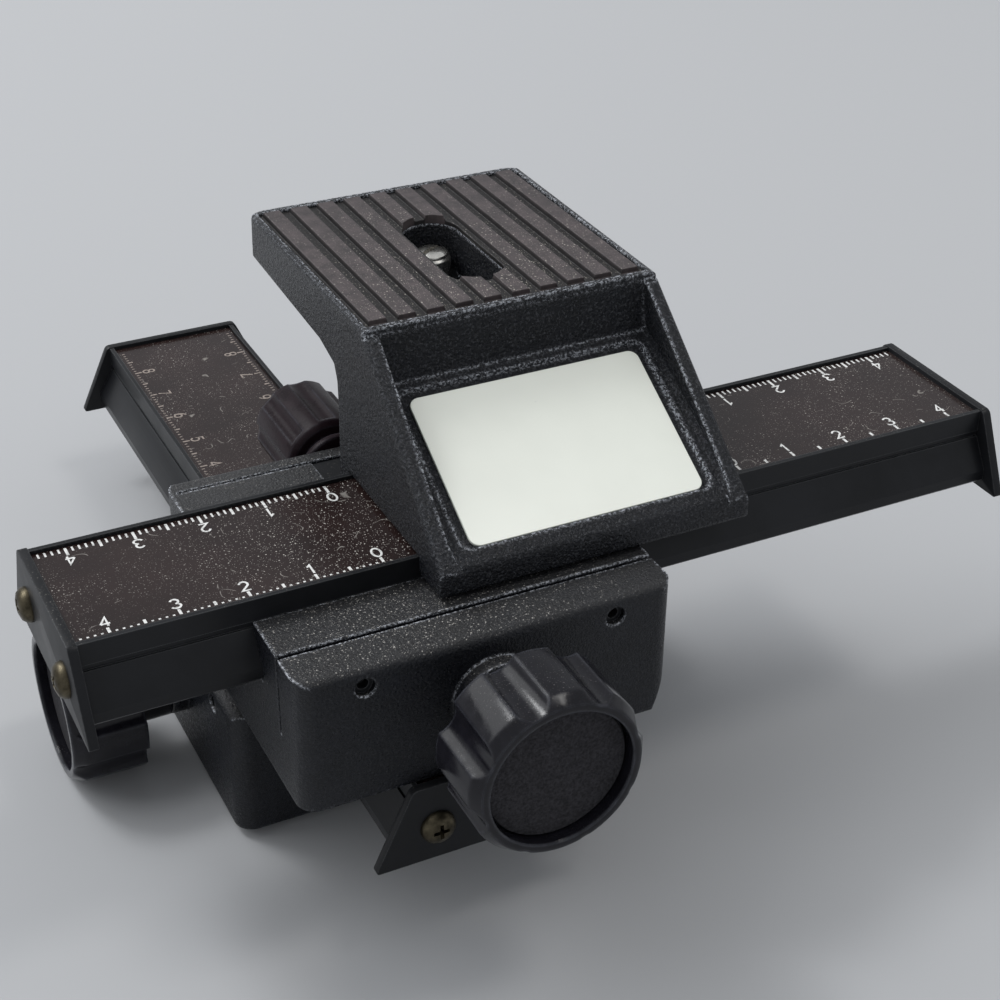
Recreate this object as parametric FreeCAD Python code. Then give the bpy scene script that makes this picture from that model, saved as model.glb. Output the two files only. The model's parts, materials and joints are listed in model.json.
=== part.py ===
"""Two-axis macro focusing rail: two crossed rack-driven slides with a camera platform.

Both slides are one design, the "unit": a graduated dovetail bar running through a cast
carriage with a drive knob on one side and a lock knob on the other. Each unit is drawn in
its own frame: u along the bar, v across it with the drive knob at -v, w up from the face
of the scale, u = 0 and v = 0 at the middle of the carriage. The lower unit carries the
tripod socket. The upper unit's carriage is screwed to the front end of the lower bar, and
the camera platform is screwed to the middle of the upper bar.

Part frame: millimetres, +Z up, origin at the mouth of the tripod socket, +X to the right
along the upper bar, +Y away from the user along the lower bar.
"""

import FreeCAD
import Part
import math
import os

V = FreeCAD.Vector

# ---------------------------------------------------------------- bars
BAR_LENGTH = 150.0
BAR_TOP_HALF = 13.0             # half width at the scale
BAR_FOOT_HALF = 16.0            # half width at the dovetail foot
BAR_SIDE_DEPTH = 4.0            # upright side below the scale face
BAR_FLANK_DEPTH = 9.0           # end of the sloping flank
BAR_DEPTH = 11.2                # scale face to underside
BAR_FOOT_CHAMFER = 0.6
BAR_EDGE_GROOVE = 0.35          # fine line cut along each side
BAR_EDGE_GROOVE_TOP = 3.0
LIP_WIDTH = 0.8                 # raised lips beside the scale
LIP_HEIGHT = 0.6
CHANNEL_HALF = 7.5              # relief under the bar for the rack
CHANNEL_ROOF = 6.0
SCALE_THICK = 0.8
SCALE_SIDE_GAP = 0.05
UPPER_BAR_SHIFT = 21.5          # middle of the bar from the middle of its carriage
LOWER_BAR_SHIFT = 16.6

# ---------------------------------------------------------------- end plates
END_THICK = 1.5
END_TOP = 0.8
END_BOTTOM = -12.5
END_TOP_HALF = 13.5
END_BOTTOM_HALF = 19.5
END_CORNER = 2.2
END_SCREW_V = 9.9
END_SCREW_W = -6.6
END_SCREW_HEAD_R = 2.7
END_SCREW_HEAD_H = 1.7
END_SCREW_R = 1.5
END_SCREW_LENGTH = 7.0
END_SCREW_CROWN = 0.45          # flat crown of the head, share of its radius
END_HOLE_GAP = 0.1

# ---------------------------------------------------------------- rack and pinion
MODULE = 0.8
PINION_TEETH = 10
PRESSURE_ANGLE = math.radians(25.0)
PINION_ADDENDUM = 0.75
PINION_DEDENDUM = 0.85
RACK_ADDENDUM = 0.65
RACK_DEDENDUM = 0.95
TOOTH_BACKLASH = 0.06           # taken off each flank of both gears
RACK_HALF = 2.4
RACK_END_SETBACK = 4.0
PINION_HALF = 2.3
FLANK_STEPS = 5                 # straight pieces of each involute flank
SHAFT_W = -13.4
SHAFT_R = 2.0
SHAFT_INNER_END = 6.8
SHAFT_END_ROOM = 0.3
SHAFT_CLEARANCE = 0.03
RACK_SCREW_R = 1.25
RACK_SCREW_HEAD_R = 2.2
RACK_SCREW_HEAD_H = 1.2
RACK_SCREW_TIP = -8.0
RACK_SCREW_SPACING = 55.0
HOLE_CLEARANCE = 0.02
SCREW_TIP_ROOM = 0.3            # hole beyond the end of its screw

# ---------------------------------------------------------------- carriage casting
CARRIAGE_HALF = 29.1
FRONT_FACE = 29.7
REAR_FACE = 27.3
BLOCK_TOP = -3.2
STRIP_TOP = -3.0
CHEEK_TOP = -2.7
CARRIAGE_BOTTOM = -25.2
FRONT_EDGE_ROUND = 1.8
REAR_EDGE_ROUND = 1.2
CORNER_ROUND = 3.0
END_BEVEL_RISE = 6.2            # bevel under one end of the casting
END_BEVEL_RUN = 2.8
SLIDE_GAP = 0.06                # running gap between bar and channel
SLIT_INNER = 21.9               # slit behind the flexing front strip
SLIT_OUTER = 22.6
SLIT_FLOOR = -16.0
REAR_SLIT_INNER = 23.5
REAR_SLIT_OUTER = 24.0
REAR_SLIT_FLOOR = -14.0
REAR_SLIT_END_WALL = 1.1
PINION_ROOM_HALF_U = 5.4
PINION_ROOM_HALF_V = 2.9
PINION_ROOM_FLOOR = -18.7
SHAFT_GROOVE_HALF = 2.3
BEARING_LAND_INNER = 3.3
BEARING_LAND_OUTER = 7.0
BEARING_LAND_HALF_U = 4.4
BEARING_LAND_TOP = -9.9
LAND_BITE = 1.0                 # lands and boss into the block
BOSS_R = 6.3                    # bearing boss on the front face
BOSS_LENGTH = 2.4
FRONT_BUSH_R = 3.2
INNER_BUSH_R = 2.7
BUSH_FLANGE_R = 4.4
BUSH_FLANGE = 0.3
GRUB_U = 19.3
GRUB_W = -6.2
GRUB_R = 1.5
GRUB_SETBACK = 1.0
GRUB_SOCKET_R = 0.85
GRUB_SOCKET_DEPTH = 1.4
SHOE_POCKET_HALF = 6.1
SHOE_HALF = 6.0
SHOE_GAP = 0.28                 # released shoe to the bar's flank
SHOE_BACK = 23.7
SHOE_TOP = -3.0

# ---------------------------------------------------------------- drive knob
KNOB_R = 13.1
KNOB_FRONT = 50.6
KNOB_BACK = 38.6
KNOB_CHAMFER_R = 1.2
KNOB_CHAMFER_L = 1.8
KNOB_RECESS_R = 10.7
KNOB_RECESS_DEPTH = 2.9
KNOB_FLUTES = 8
KNOB_FLUTE_R = 3.4
KNOB_FLUTE_CENTRE = 15.2
KNOB_FLUTE_START = math.radians(63.0)
KNOB_BACK_RECESS_R = 10.4
KNOB_BACK_RECESS = 4.5
KNOB_HUB_R = 6.3
KNOB_HUB_BACK = 32.5
KNOB_SHAFT_END = 46.5
DISC_R = 10.4
DISC_THICK = 1.1

# ---------------------------------------------------------------- lock knob
LOCK_W = -7.7
LOCK_R = 7.5
LOCK_BACK = 30.3
LOCK_END = 46.5
LOCK_CHAMFER = 0.8
LOCK_FLUTES = 8
LOCK_FLUTE_R = 2.0
LOCK_FLUTE_CENTRE = 8.7
LOCK_COLLAR = 1.5               # round collar behind the flutes
LOCK_NECK_R = 5.0
LOCK_NECK_BACK = 29.3
LOCK_SCREW_R = 2.5
LOCK_SCREW_CLEARANCE = 0.05
LOCK_TIP_GAP = 0.03             # screw tip to the back of the shoe
LOCK_SCREW_END = 43.0
WASHER_R = 6.4
WASHER_INNER_R = 3.2
WASHER_THICK = 1.3

# ---------------------------------------------------------------- how the units are joined
CARRIAGE_SCREW_U = 9.0
CARRIAGE_SCREW_V = 11.0
CARRIAGE_SCREW_R = 2.0
CARRIAGE_SCREW_HEAD_R = 3.5
CARRIAGE_SCREW_HEAD_H = 2.6
CARRIAGE_SCREW_HEAD_SINK = 0.5
CARRIAGE_HEAD_GAP = 0.2
CARRIAGE_HOLE_GAP = 0.1
CARRIAGE_SOCKET_R = 1.9
CARRIAGE_SOCKET_DEPTH = 1.4
CARRIAGE_SCREW_GRIP = 5.6       # thread in the lower bar
CARRIAGE_SETBACK = 0.7          # upper carriage behind the front end of the lower bar

# ---------------------------------------------------------------- foot and tripod bush
FOOT_HALF_U = 22.0
FOOT_HALF_V = 20.0
FOOT_THICK = 1.6
FOOT_CORNER = 3.0
TRIPOD_THREAD_R = 3.175         # 1/4"-20 UNC
TRIPOD_BUSH_R = 6.5
TRIPOD_BUSH_LENGTH = 7.2

# ---------------------------------------------------------------- camera platform
PLATFORM_TOP_Z = 26.7           # all platform heights are above the upper scale face
PLATFORM_TOP_HALF = 24.5
PLATFORM_BASE_HALF = 25.5
PLATFORM_TAPER_LOW = -2.4
PLATFORM_FRONT_Y = 8.0
PLATFORM_BACK_Y = 56.0
PLATFORM_BACK_LOW = 19.6
PLATFORM_RIM_Y = 25.0
PLATFORM_RIM_LOW = 17.7
PLATFORM_CORNER = 4.0
PLATFORM_WALL = 2.6
PLATFORM_SKIN_UNDER = 23.4
SLOPE_FOOT_Y = -20.5            # foot of the cheeks and of the panel between them
SLOPE_FOOT_Z = 1.9
PLATE_EDGE = 1.1                # front edge of the top plate, above the cheeks
PLATE_STEP = 1.2                # cheeks ahead of that edge
CHEEK_INNER_LOW = 22.8          # half width between the cheeks at the foot
CHEEK_INNER_HIGH = 22.2         # and at the top plate
PANEL_HEAD_Y = 7.0              # where the panel meets the wall under the plate
PANEL_HEAD_Z = 17.6
RECESS_CORNER = 0.8
LEG_LOW = -2.4
LEG_REAR_Y = 17.0
LEG_CURVE_OUT = 1.8             # curve from the back of the leg to the rim of the plate
LEG_CURVE_TOP = 1.1
LEG_CURVE_MID = 0.5
LEG_CURVE_DROP = 3.5
LEG_CURVE_END = 7.5
SADDLE_HALF = 13.3
SADDLE_TOP = 0.9
FLANGE_HALF = 12.0
FLANGE_THICK = 3.0
FLANGE_BITE = 0.5               # flange into the side walls
WEB_OUTER = 22.0
WEB_THICK = 2.5
WEB_LOW = 5.0
WEB_FRONT_Y = -2.0
WEB_BACK_Y = 33.0
PLATE_RIM_SIDE = 1.1            # rim round the pocket of the pad
PLATE_RIM_END = 1.0
PAD_POCKET_DEPTH = 1.2
PLATFORM_SCREW_U = 14.0
PLATFORM_SCREW_V = 4.95
PLATFORM_SCREW_R = 1.5
PLATFORM_SCREW_HEAD_R = 2.35
PLATFORM_SCREW_HEAD_H = 1.8
PLATFORM_SCREW_TIP = 2.4
BADGE_LOW = 2.9                 # along the panel from its foot
BADGE_HIGH = 28.6
BADGE_HALF = 19.2
BADGE_THICK = 0.5
BADGE_GAP = 0.1
BADGE_GROOVE = 1.5              # groove beside and above the badge
BADGE_CORNER = 1.6
SEAT_DEPTH = 0.45

# ---------------------------------------------------------------- rubber pad
PAD_GAP = 0.15
PAD_BASE = 0.7
PAD_TOP_Z = 27.0
RIB_COUNT = 10
RIB_HALF_LOW = 1.55
RIB_HALF_TOP = 1.1
RIB_SIDE_MARGIN = 0.6           # pad beyond its outer ribs
RIB_FRONT_SETBACK = 1.2         # rib ends from the pocket's ends
RIB_BACK_SETBACK = 0.7

# ---------------------------------------------------------------- camera screw
SLOT_HALF = 4.7
SLOT_FRONT_Y = 17.0
SLOT_BACK_Y = 42.4
SLOT_BOSS_WALL = 2.2
SLOT_FLOOR_TOP = 17.6
SLOT_FLOOR_THICK = 1.8
SLOT_NECK_HALF = 2.45
SLOT_NECK_SETBACK = 2.0         # ends of the neck inside the ends of the slot
CAMERA_SCREW_Y = 37.8
CAMERA_THREAD_R = 3.175         # 1/4"-20 UNC
CAMERA_THREAD_LENGTH = 3.8
CAMERA_TIP_CHAMFER = 0.5
CAMERA_NECK_R = 2.0
CAMERA_SCREW_LIFT = 9.0
SLOT_BUSH_FLANGE_R = 4.3
SLOT_BUSH_FLANGE = 0.8
SLOT_BUSH_BODY_R = 2.35
SLOT_BUSH_BORE_GAP = 0.08
CAMERA_WASHER_R = 5.0
CAMERA_WASHER_THICK = 0.7
CAMERA_KNOB_R = 10.0
CAMERA_KNOB_H = 5.5
CAMERA_KNOB_FLOOR = 1.0         # knob below the end of its screw
CAMERA_KNOB_CHAMFER = 0.7
CAMERA_KNOB_FLUTES = 12
CAMERA_KNOB_FLUTE_R = 1.6
CAMERA_KNOB_FLUTE_CENTRE = 10.9

# ---------------------------------------------------------------- levels in the part frame
STACK = -CARRIAGE_BOTTOM + LIP_HEIGHT               # upper scale face above the lower one
LOWER_LEVEL = FOOT_THICK - CARRIAGE_BOTTOM          # lower scale face above the foot
UPPER_LEVEL = LOWER_LEVEL + STACK
UPPER_AXIS_Y = LOWER_BAR_SHIFT - BAR_LENGTH / 2 + CARRIAGE_SETBACK + FRONT_FACE

# ---------------------------------------------------------------- making the cuts
OVERRUN = 1.0                   # how far a cutting tool runs past the surface it opens
FAR = 60.0                      # beyond every face of the piece that is cut
SAME_PLACE = 0.01               # an edge counts as lying on a face within this distance


def box(x0, x1, y0, y1, z0, z1):
    return Part.makeBox(x1 - x0, y1 - y0, z1 - z0, V(x0, y0, z0))


def rod(radius, v0, v1, u=0.0, w=SHAFT_W):
    """Cylinder along v, from v0 to v1."""
    return Part.makeCylinder(radius, v1 - v0, V(u, v0, w), V(0, 1, 0))


def post(radius, z0, z1, x=0.0, y=0.0):
    """Upright cylinder."""
    return Part.makeCylinder(radius, z1 - z0, V(x, y, z0))


def prism(points, direction):
    """Solid swept from a closed outline of 3-D points."""
    wire = Part.makePolygon([V(*p) for p in points] + [V(*points[0])])
    return Part.Face(wire).extrude(V(*direction))


def along_u(outline, u0, u1):
    """Sweep a (v, w) outline along u."""
    return prism([(u0, v, w) for v, w in outline], (u1 - u0, 0, 0))


def mirrored(outline):
    """Close a half outline (v > 0, listed from top to bottom) with its mirror image."""
    return outline + [(-v, w) for v, w in reversed(outline)]


def fuse_all(shapes):
    body = shapes[0]
    if len(shapes) > 1:
        body = body.fuse(shapes[1:])
    return body.removeSplitter()


def cut_all(body, tools):
    return body.cut(tools).removeSplitter()


def round_edges(shape, radius, chosen):
    edges = [e for e in shape.Edges if chosen(e)]
    return shape.makeFillet(radius, edges)


def is_upright(edge):
    a, b = edge.Vertexes[0].Point, edge.Vertexes[-1].Point
    return len(edge.Vertexes) == 2 and abs(a.x - b.x) < 1e-6 and abs(a.y - b.y) < 1e-6


def ring_of(tool, count, start, centre, axis):
    """Copies of a tool turned evenly about an axis."""
    copies = []
    for i in range(count):
        copy = tool.copy()
        copy.rotate(centre, axis, math.degrees(start) + 360.0 * i / count)
        copies.append(copy)
    return copies


# ================================================================ the sliding bar
def bar_outline():
    half = [
        (BAR_TOP_HALF - LIP_WIDTH, -SCALE_THICK),
        (BAR_TOP_HALF - LIP_WIDTH, LIP_HEIGHT),
        (BAR_TOP_HALF, LIP_HEIGHT),
        (BAR_TOP_HALF, -BAR_EDGE_GROOVE_TOP),
        (BAR_TOP_HALF - BAR_EDGE_GROOVE, -BAR_EDGE_GROOVE_TOP),
        (BAR_TOP_HALF - BAR_EDGE_GROOVE, -BAR_SIDE_DEPTH),
        (BAR_TOP_HALF, -BAR_SIDE_DEPTH),
        (BAR_FOOT_HALF, -BAR_FLANK_DEPTH),
        (BAR_FOOT_HALF, -BAR_DEPTH + BAR_FOOT_CHAMFER),
        (BAR_FOOT_HALF - BAR_FOOT_CHAMFER, -BAR_DEPTH),
        (CHANNEL_HALF, -BAR_DEPTH),
        (CHANNEL_HALF, -CHANNEL_ROOF),
    ]
    return mirrored(half)


def rack_screw_positions(shift):
    return [shift + i * RACK_SCREW_SPACING for i in (-1, 0, 1)]


def make_bar(shift):
    """Dovetail bar with the holes for its rack and for its end plates."""
    u0, u1 = shift - BAR_LENGTH / 2, shift + BAR_LENGTH / 2
    bar = along_u(bar_outline(), u0, u1)
    tools = []
    for u in rack_screw_positions(shift):
        tools.append(post(RACK_SCREW_R + HOLE_CLEARANCE, -CHANNEL_ROOF, -SCALE_THICK, u))
        tools.append(post(RACK_SCREW_HEAD_R + HOLE_CLEARANCE, -SCALE_THICK - RACK_SCREW_HEAD_H, 0, u))
    for v in (-END_SCREW_V, END_SCREW_V):
        for end, inward in ((u0, 1), (u1, -1)):
            tools.append(Part.makeCylinder(END_SCREW_R + HOLE_CLEARANCE, END_SCREW_LENGTH + SCREW_TIP_ROOM,
                                           V(end, v, END_SCREW_W), V(inward, 0, 0)))
    return cut_all(bar, tools)


def make_scale_plate(shift):
    half = BAR_TOP_HALF - LIP_WIDTH - SCALE_SIDE_GAP
    return box(shift - BAR_LENGTH / 2, shift + BAR_LENGTH / 2, -half, half, -SCALE_THICK, 0)


def make_rack(shift):
    """Toothed rack in the bar's underside; a tooth stands over the pinion at rest."""
    pitch = math.pi * MODULE
    pitch_line = SHAFT_W + MODULE * PINION_TEETH / 2
    tip, root = pitch_line - RACK_ADDENDUM, pitch_line + RACK_DEDENDUM
    u0 = shift - BAR_LENGTH / 2 + RACK_END_SETBACK
    u1 = shift + BAR_LENGTH / 2 - RACK_END_SETBACK
    mid_half = pitch / 4 - TOOTH_BACKLASH
    tip_half = mid_half - RACK_ADDENDUM * math.tan(PRESSURE_ANGLE)
    root_half = mid_half + RACK_DEDENDUM * math.tan(PRESSURE_ANGLE)
    outline = [(u1, -CHANNEL_ROOF), (u0, -CHANNEL_ROOF), (u0, root)]
    for k in range(math.ceil((u0 + root_half) / pitch), math.floor((u1 - root_half) / pitch) + 1):
        centre = k * pitch
        outline.append((centre - root_half, root))
        outline.append((centre - tip_half, tip))
        outline.append((centre + tip_half, tip))
        outline.append((centre + root_half, root))
    outline.append((u1, root))
    rack = prism([(u, -RACK_HALF, w) for u, w in outline], (0, 2 * RACK_HALF, 0))
    holes = [post(RACK_SCREW_R + HOLE_CLEARANCE, RACK_SCREW_TIP - SCREW_TIP_ROOM, -CHANNEL_ROOF, u)
             for u in rack_screw_positions(shift)]
    return cut_all(rack, holes)


def make_rack_screws(shift):
    screws = []
    for u in rack_screw_positions(shift):
        head = Part.makeCone(RACK_SCREW_R, RACK_SCREW_HEAD_R, RACK_SCREW_HEAD_H,
                             V(u, 0, -SCALE_THICK - RACK_SCREW_HEAD_H))
        screws.append(head.fuse(post(RACK_SCREW_R, RACK_SCREW_TIP, -SCALE_THICK - RACK_SCREW_HEAD_H / 2, u)))
    return Part.makeCompound(screws)


def make_end_plate(u_inner, outward):
    """Trapezoid plate that stops the bar at the carriage."""
    u_outer = u_inner + outward * END_THICK
    outline = mirrored([(END_TOP_HALF, END_TOP), (END_BOTTOM_HALF, END_BOTTOM)])
    plate = along_u(outline, min(u_inner, u_outer), max(u_inner, u_outer))
    plate = round_edges(plate, END_CORNER, lambda e: abs(e.Vertexes[0].Point.x - e.Vertexes[-1].Point.x) > SAME_PLACE)
    holes = [Part.makeCylinder(END_SCREW_R + END_HOLE_GAP, END_THICK + 2 * OVERRUN,
                               V(min(u_inner, u_outer) - OVERRUN, v, END_SCREW_W), V(1, 0, 0))
             for v in (-END_SCREW_V, END_SCREW_V)]
    return cut_all(plate, holes)


def make_end_screws(u_inner, outward):
    """Pan-head screws of one end plate."""
    screws = []
    u_outer = u_inner + outward * END_THICK
    crown = END_SCREW_CROWN * END_SCREW_HEAD_R
    for v in (-END_SCREW_V, END_SCREW_V):
        centre = V(u_outer, v, END_SCREW_W)
        out = V(outward, 0, 0)
        low = Part.makeCylinder(END_SCREW_HEAD_R, END_SCREW_HEAD_H / 2, centre, out)
        dome = Part.makeCone(END_SCREW_HEAD_R, crown, END_SCREW_HEAD_H / 2,
                             centre + out * (END_SCREW_HEAD_H / 2), out)
        shank = Part.makeCylinder(END_SCREW_R, END_SCREW_LENGTH + END_THICK, centre, -out)
        screws.append(fuse_all([low, dome, shank]))
    return Part.makeCompound(screws)


# ================================================================ carriage
def channel_outline():
    """Clearance outline of the bar in the casting, open at the top."""
    slope = math.atan2(BAR_FOOT_HALF - BAR_TOP_HALF, BAR_FLANK_DEPTH - BAR_SIDE_DEPTH)
    side = SLIDE_GAP / math.cos(slope)
    half = [
        (BAR_TOP_HALF + side, CHEEK_TOP + OVERRUN),
        (BAR_TOP_HALF + side, -BAR_SIDE_DEPTH),
        (BAR_FOOT_HALF + side, -BAR_FLANK_DEPTH),
        (BAR_FOOT_HALF + side, -BAR_DEPTH - SLIDE_GAP),
    ]
    return mirrored(half)


def make_casting(bevel_end):
    """Carriage casting without its foot; bevel_end is the end (+1 or -1) with the low bevel."""
    floor = -BAR_DEPTH - SLIDE_GAP
    outline = [
        (-FRONT_FACE, CARRIAGE_BOTTOM),
        (-FRONT_FACE, BLOCK_TOP),
        (-SLIT_INNER, BLOCK_TOP),
        (-SLIT_INNER, STRIP_TOP),
        (0.0, STRIP_TOP),
        (0.0, CHEEK_TOP),
        (REAR_FACE, CHEEK_TOP),
        (REAR_FACE, CARRIAGE_BOTTOM),
    ]
    body = along_u(outline, -CARRIAGE_HALF, CARRIAGE_HALF)

    def long_edge(face, level):
        return lambda e: all(abs(q.Point.y - face) < SAME_PLACE and abs(q.Point.z - level) < SAME_PLACE
                             for q in e.Vertexes)

    body = round_edges(body, FRONT_EDGE_ROUND, long_edge(-FRONT_FACE, BLOCK_TOP))
    body = round_edges(body, REAR_EDGE_ROUND, long_edge(REAR_FACE, CHEEK_TOP))
    plan = box(-CARRIAGE_HALF, CARRIAGE_HALF, -FRONT_FACE, REAR_FACE, CARRIAGE_BOTTOM - OVERRUN, OVERRUN)
    body = body.common(round_edges(plan, CORNER_ROUND, is_upright))

    end = bevel_end * CARRIAGE_HALF
    beyond = OVERRUN * END_BEVEL_RUN / END_BEVEL_RISE
    bevel = prism([(end - bevel_end * (END_BEVEL_RUN + beyond), -FAR, CARRIAGE_BOTTOM - OVERRUN),
                   (end + bevel_end * beyond, -FAR, CARRIAGE_BOTTOM + END_BEVEL_RISE + OVERRUN),
                   (end + bevel_end * beyond, -FAR, CARRIAGE_BOTTOM - OVERRUN)], (0, 2 * FAR, 0))
    lands = box(-BEARING_LAND_HALF_U, BEARING_LAND_HALF_U, BEARING_LAND_INNER, BEARING_LAND_OUTER,
                floor - LAND_BITE, BEARING_LAND_TOP)
    boss = rod(BOSS_R, -FRONT_FACE - BOSS_LENGTH, -FRONT_FACE + LAND_BITE)

    far = CARRIAGE_HALF + OVERRUN
    tools = [
        along_u(channel_outline(), -far, far),
        bevel,
        box(-far, far, -SLIT_OUTER, -SLIT_INNER, SLIT_FLOOR, OVERRUN),
        box(SHOE_POCKET_HALF, CARRIAGE_HALF - REAR_SLIT_END_WALL,
            REAR_SLIT_INNER, REAR_SLIT_OUTER, REAR_SLIT_FLOOR, OVERRUN),
        box(-CARRIAGE_HALF + REAR_SLIT_END_WALL, -SHOE_POCKET_HALF,
            REAR_SLIT_INNER, REAR_SLIT_OUTER, REAR_SLIT_FLOOR, OVERRUN),
        box(-SHOE_POCKET_HALF, SHOE_POCKET_HALF, BAR_TOP_HALF - OVERRUN, REAR_SLIT_OUTER, floor, OVERRUN),
        box(-PINION_ROOM_HALF_U, PINION_ROOM_HALF_U, -PINION_ROOM_HALF_V, PINION_ROOM_HALF_V,
            PINION_ROOM_FLOOR, floor + OVERRUN),
        box(-SHAFT_GROOVE_HALF, SHAFT_GROOVE_HALF, -BAR_FOOT_HALF, 0.0, SHAFT_W, floor + OVERRUN),
    ]
    body = cut_all(fuse_all([body, boss]), tools)
    body = fuse_all([body, lands])
    lock_hole_r = LOCK_SCREW_R + LOCK_SCREW_CLEARANCE
    bores = [
        rod(SHAFT_GROOVE_HALF, -SLIT_OUTER, 0.0),
        rod(FRONT_BUSH_R + HOLE_CLEARANCE, -FRONT_FACE - BOSS_LENGTH - OVERRUN, -SLIT_OUTER),
        rod(INNER_BUSH_R + HOLE_CLEARANCE, 0.0, BEARING_LAND_OUTER + SHAFT_END_ROOM),
        rod(lock_hole_r, REAR_SLIT_OUTER - OVERRUN, REAR_FACE + OVERRUN, 0.0, LOCK_W),
    ]
    bores += [rod(GRUB_R + HOLE_CLEARANCE, -FRONT_FACE - OVERRUN, -SLIT_INNER, u, GRUB_W)
              for u in (-GRUB_U, GRUB_U)]
    return cut_all(body, bores)


def make_upper_carriage():
    """Casting bored for the four screws that hold it on the lower bar."""
    body = make_casting(1)
    floor = -BAR_DEPTH - SLIDE_GAP
    head_seat = floor - CARRIAGE_SCREW_HEAD_SINK - CARRIAGE_SCREW_HEAD_H
    tools = []
    for u, v in carriage_screw_spots():
        tools.append(post(CARRIAGE_SCREW_HEAD_R + CARRIAGE_HEAD_GAP, head_seat, floor + OVERRUN, u, v))
        tools.append(post(CARRIAGE_SCREW_R + CARRIAGE_HOLE_GAP, CARRIAGE_BOTTOM - OVERRUN, head_seat, u, v))
    return cut_all(body, tools)


def make_lower_carriage():
    """Casting with the foot and the seat of the tripod bush."""
    body = make_casting(-1)
    foot = box(-FOOT_HALF_U, FOOT_HALF_U, -FOOT_HALF_V, FOOT_HALF_V,
               CARRIAGE_BOTTOM - FOOT_THICK, CARRIAGE_BOTTOM + LAND_BITE)
    foot = round_edges(foot, FOOT_CORNER, is_upright)
    mouth = CARRIAGE_BOTTOM - FOOT_THICK
    seat = post(TRIPOD_BUSH_R + HOLE_CLEARANCE, mouth - OVERRUN, mouth + TRIPOD_BUSH_LENGTH)
    return cut_all(fuse_all([body, foot]), [seat])


def make_tripod_bush():
    mouth = CARRIAGE_BOTTOM - FOOT_THICK
    bush = post(TRIPOD_BUSH_R, mouth, mouth + TRIPOD_BUSH_LENGTH)
    return bush.cut(post(TRIPOD_THREAD_R, mouth - OVERRUN, mouth + TRIPOD_BUSH_LENGTH + OVERRUN))


def carriage_screw_spots():
    return [(u, v) for u in (-CARRIAGE_SCREW_U, CARRIAGE_SCREW_U)
            for v in (-CARRIAGE_SCREW_V, CARRIAGE_SCREW_V)]


def make_carriage_screws():
    """Screws from the upper channel floor into the lower bar, in the upper unit's frame."""
    floor = -BAR_DEPTH - SLIDE_GAP
    head_top = floor - CARRIAGE_SCREW_HEAD_SINK
    head_low = head_top - CARRIAGE_SCREW_HEAD_H
    tip = -STACK - CARRIAGE_SCREW_GRIP
    screws = []
    for u, v in carriage_screw_spots():
        screw = fuse_all([post(CARRIAGE_SCREW_HEAD_R, head_low, head_top, u, v),
                          post(CARRIAGE_SCREW_R, tip, head_low, u, v)])
        socket = post(CARRIAGE_SOCKET_R, head_top - CARRIAGE_SOCKET_DEPTH, head_top + OVERRUN, u, v)
        screws.append(screw.cut(socket))
    return Part.makeCompound(screws)


def make_gib_screws():
    """Grub screws that press the flexing strip on to the bar."""
    screws = []
    for u in (-GRUB_U, GRUB_U):
        head = -FRONT_FACE + GRUB_SETBACK
        screw = rod(GRUB_R, head, -SLIT_INNER, u, GRUB_W)
        socket = rod(GRUB_SOCKET_R, head - OVERRUN, head + GRUB_SOCKET_DEPTH, u, GRUB_W)
        screws.append(screw.cut(socket))
    return Part.makeCompound(screws)


def make_bushes():
    """Plain bearings of the drive shaft: flanged one at the front, sleeve at the inner end."""
    bore_r = SHAFT_R + SHAFT_CLEARANCE
    face = -FRONT_FACE - BOSS_LENGTH
    front = rod(FRONT_BUSH_R, face, -SLIT_OUTER)
    flange = rod(BUSH_FLANGE_R, face - BUSH_FLANGE, face)
    front = fuse_all([front, flange]).cut(rod(bore_r, face - FAR, 0.0))
    inner = rod(INNER_BUSH_R, BEARING_LAND_INNER, BEARING_LAND_OUTER)
    inner = inner.cut(rod(bore_r, 0.0, BEARING_LAND_OUTER + OVERRUN))
    return Part.makeCompound([front, inner])


def make_shoe():
    """Brake shoe with a face parallel to the bar's flank."""
    slope = math.atan2(BAR_FOOT_HALF - BAR_TOP_HALF, BAR_FLANK_DEPTH - BAR_SIDE_DEPTH)
    gap = SHOE_GAP / math.cos(slope)
    outline = [
        (BAR_TOP_HALF + gap, SHOE_TOP),
        (BAR_TOP_HALF + gap, -BAR_SIDE_DEPTH),
        (BAR_FOOT_HALF + gap, -BAR_FLANK_DEPTH),
        (BAR_FOOT_HALF + gap, -BAR_DEPTH),
        (SHOE_BACK, -BAR_DEPTH),
        (SHOE_BACK, SHOE_TOP),
    ]
    return along_u(outline, -SHOE_HALF, SHOE_HALF)


def make_lock_screw():
    return rod(LOCK_SCREW_R, SHOE_BACK + LOCK_TIP_GAP, LOCK_SCREW_END, 0.0, LOCK_W)


def make_lock_washer():
    ring = rod(WASHER_R, REAR_FACE, REAR_FACE + WASHER_THICK, 0.0, LOCK_W)
    return ring.cut(rod(WASHER_INNER_R, REAR_FACE - OVERRUN, REAR_FACE + WASHER_THICK + OVERRUN, 0.0, LOCK_W))


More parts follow.
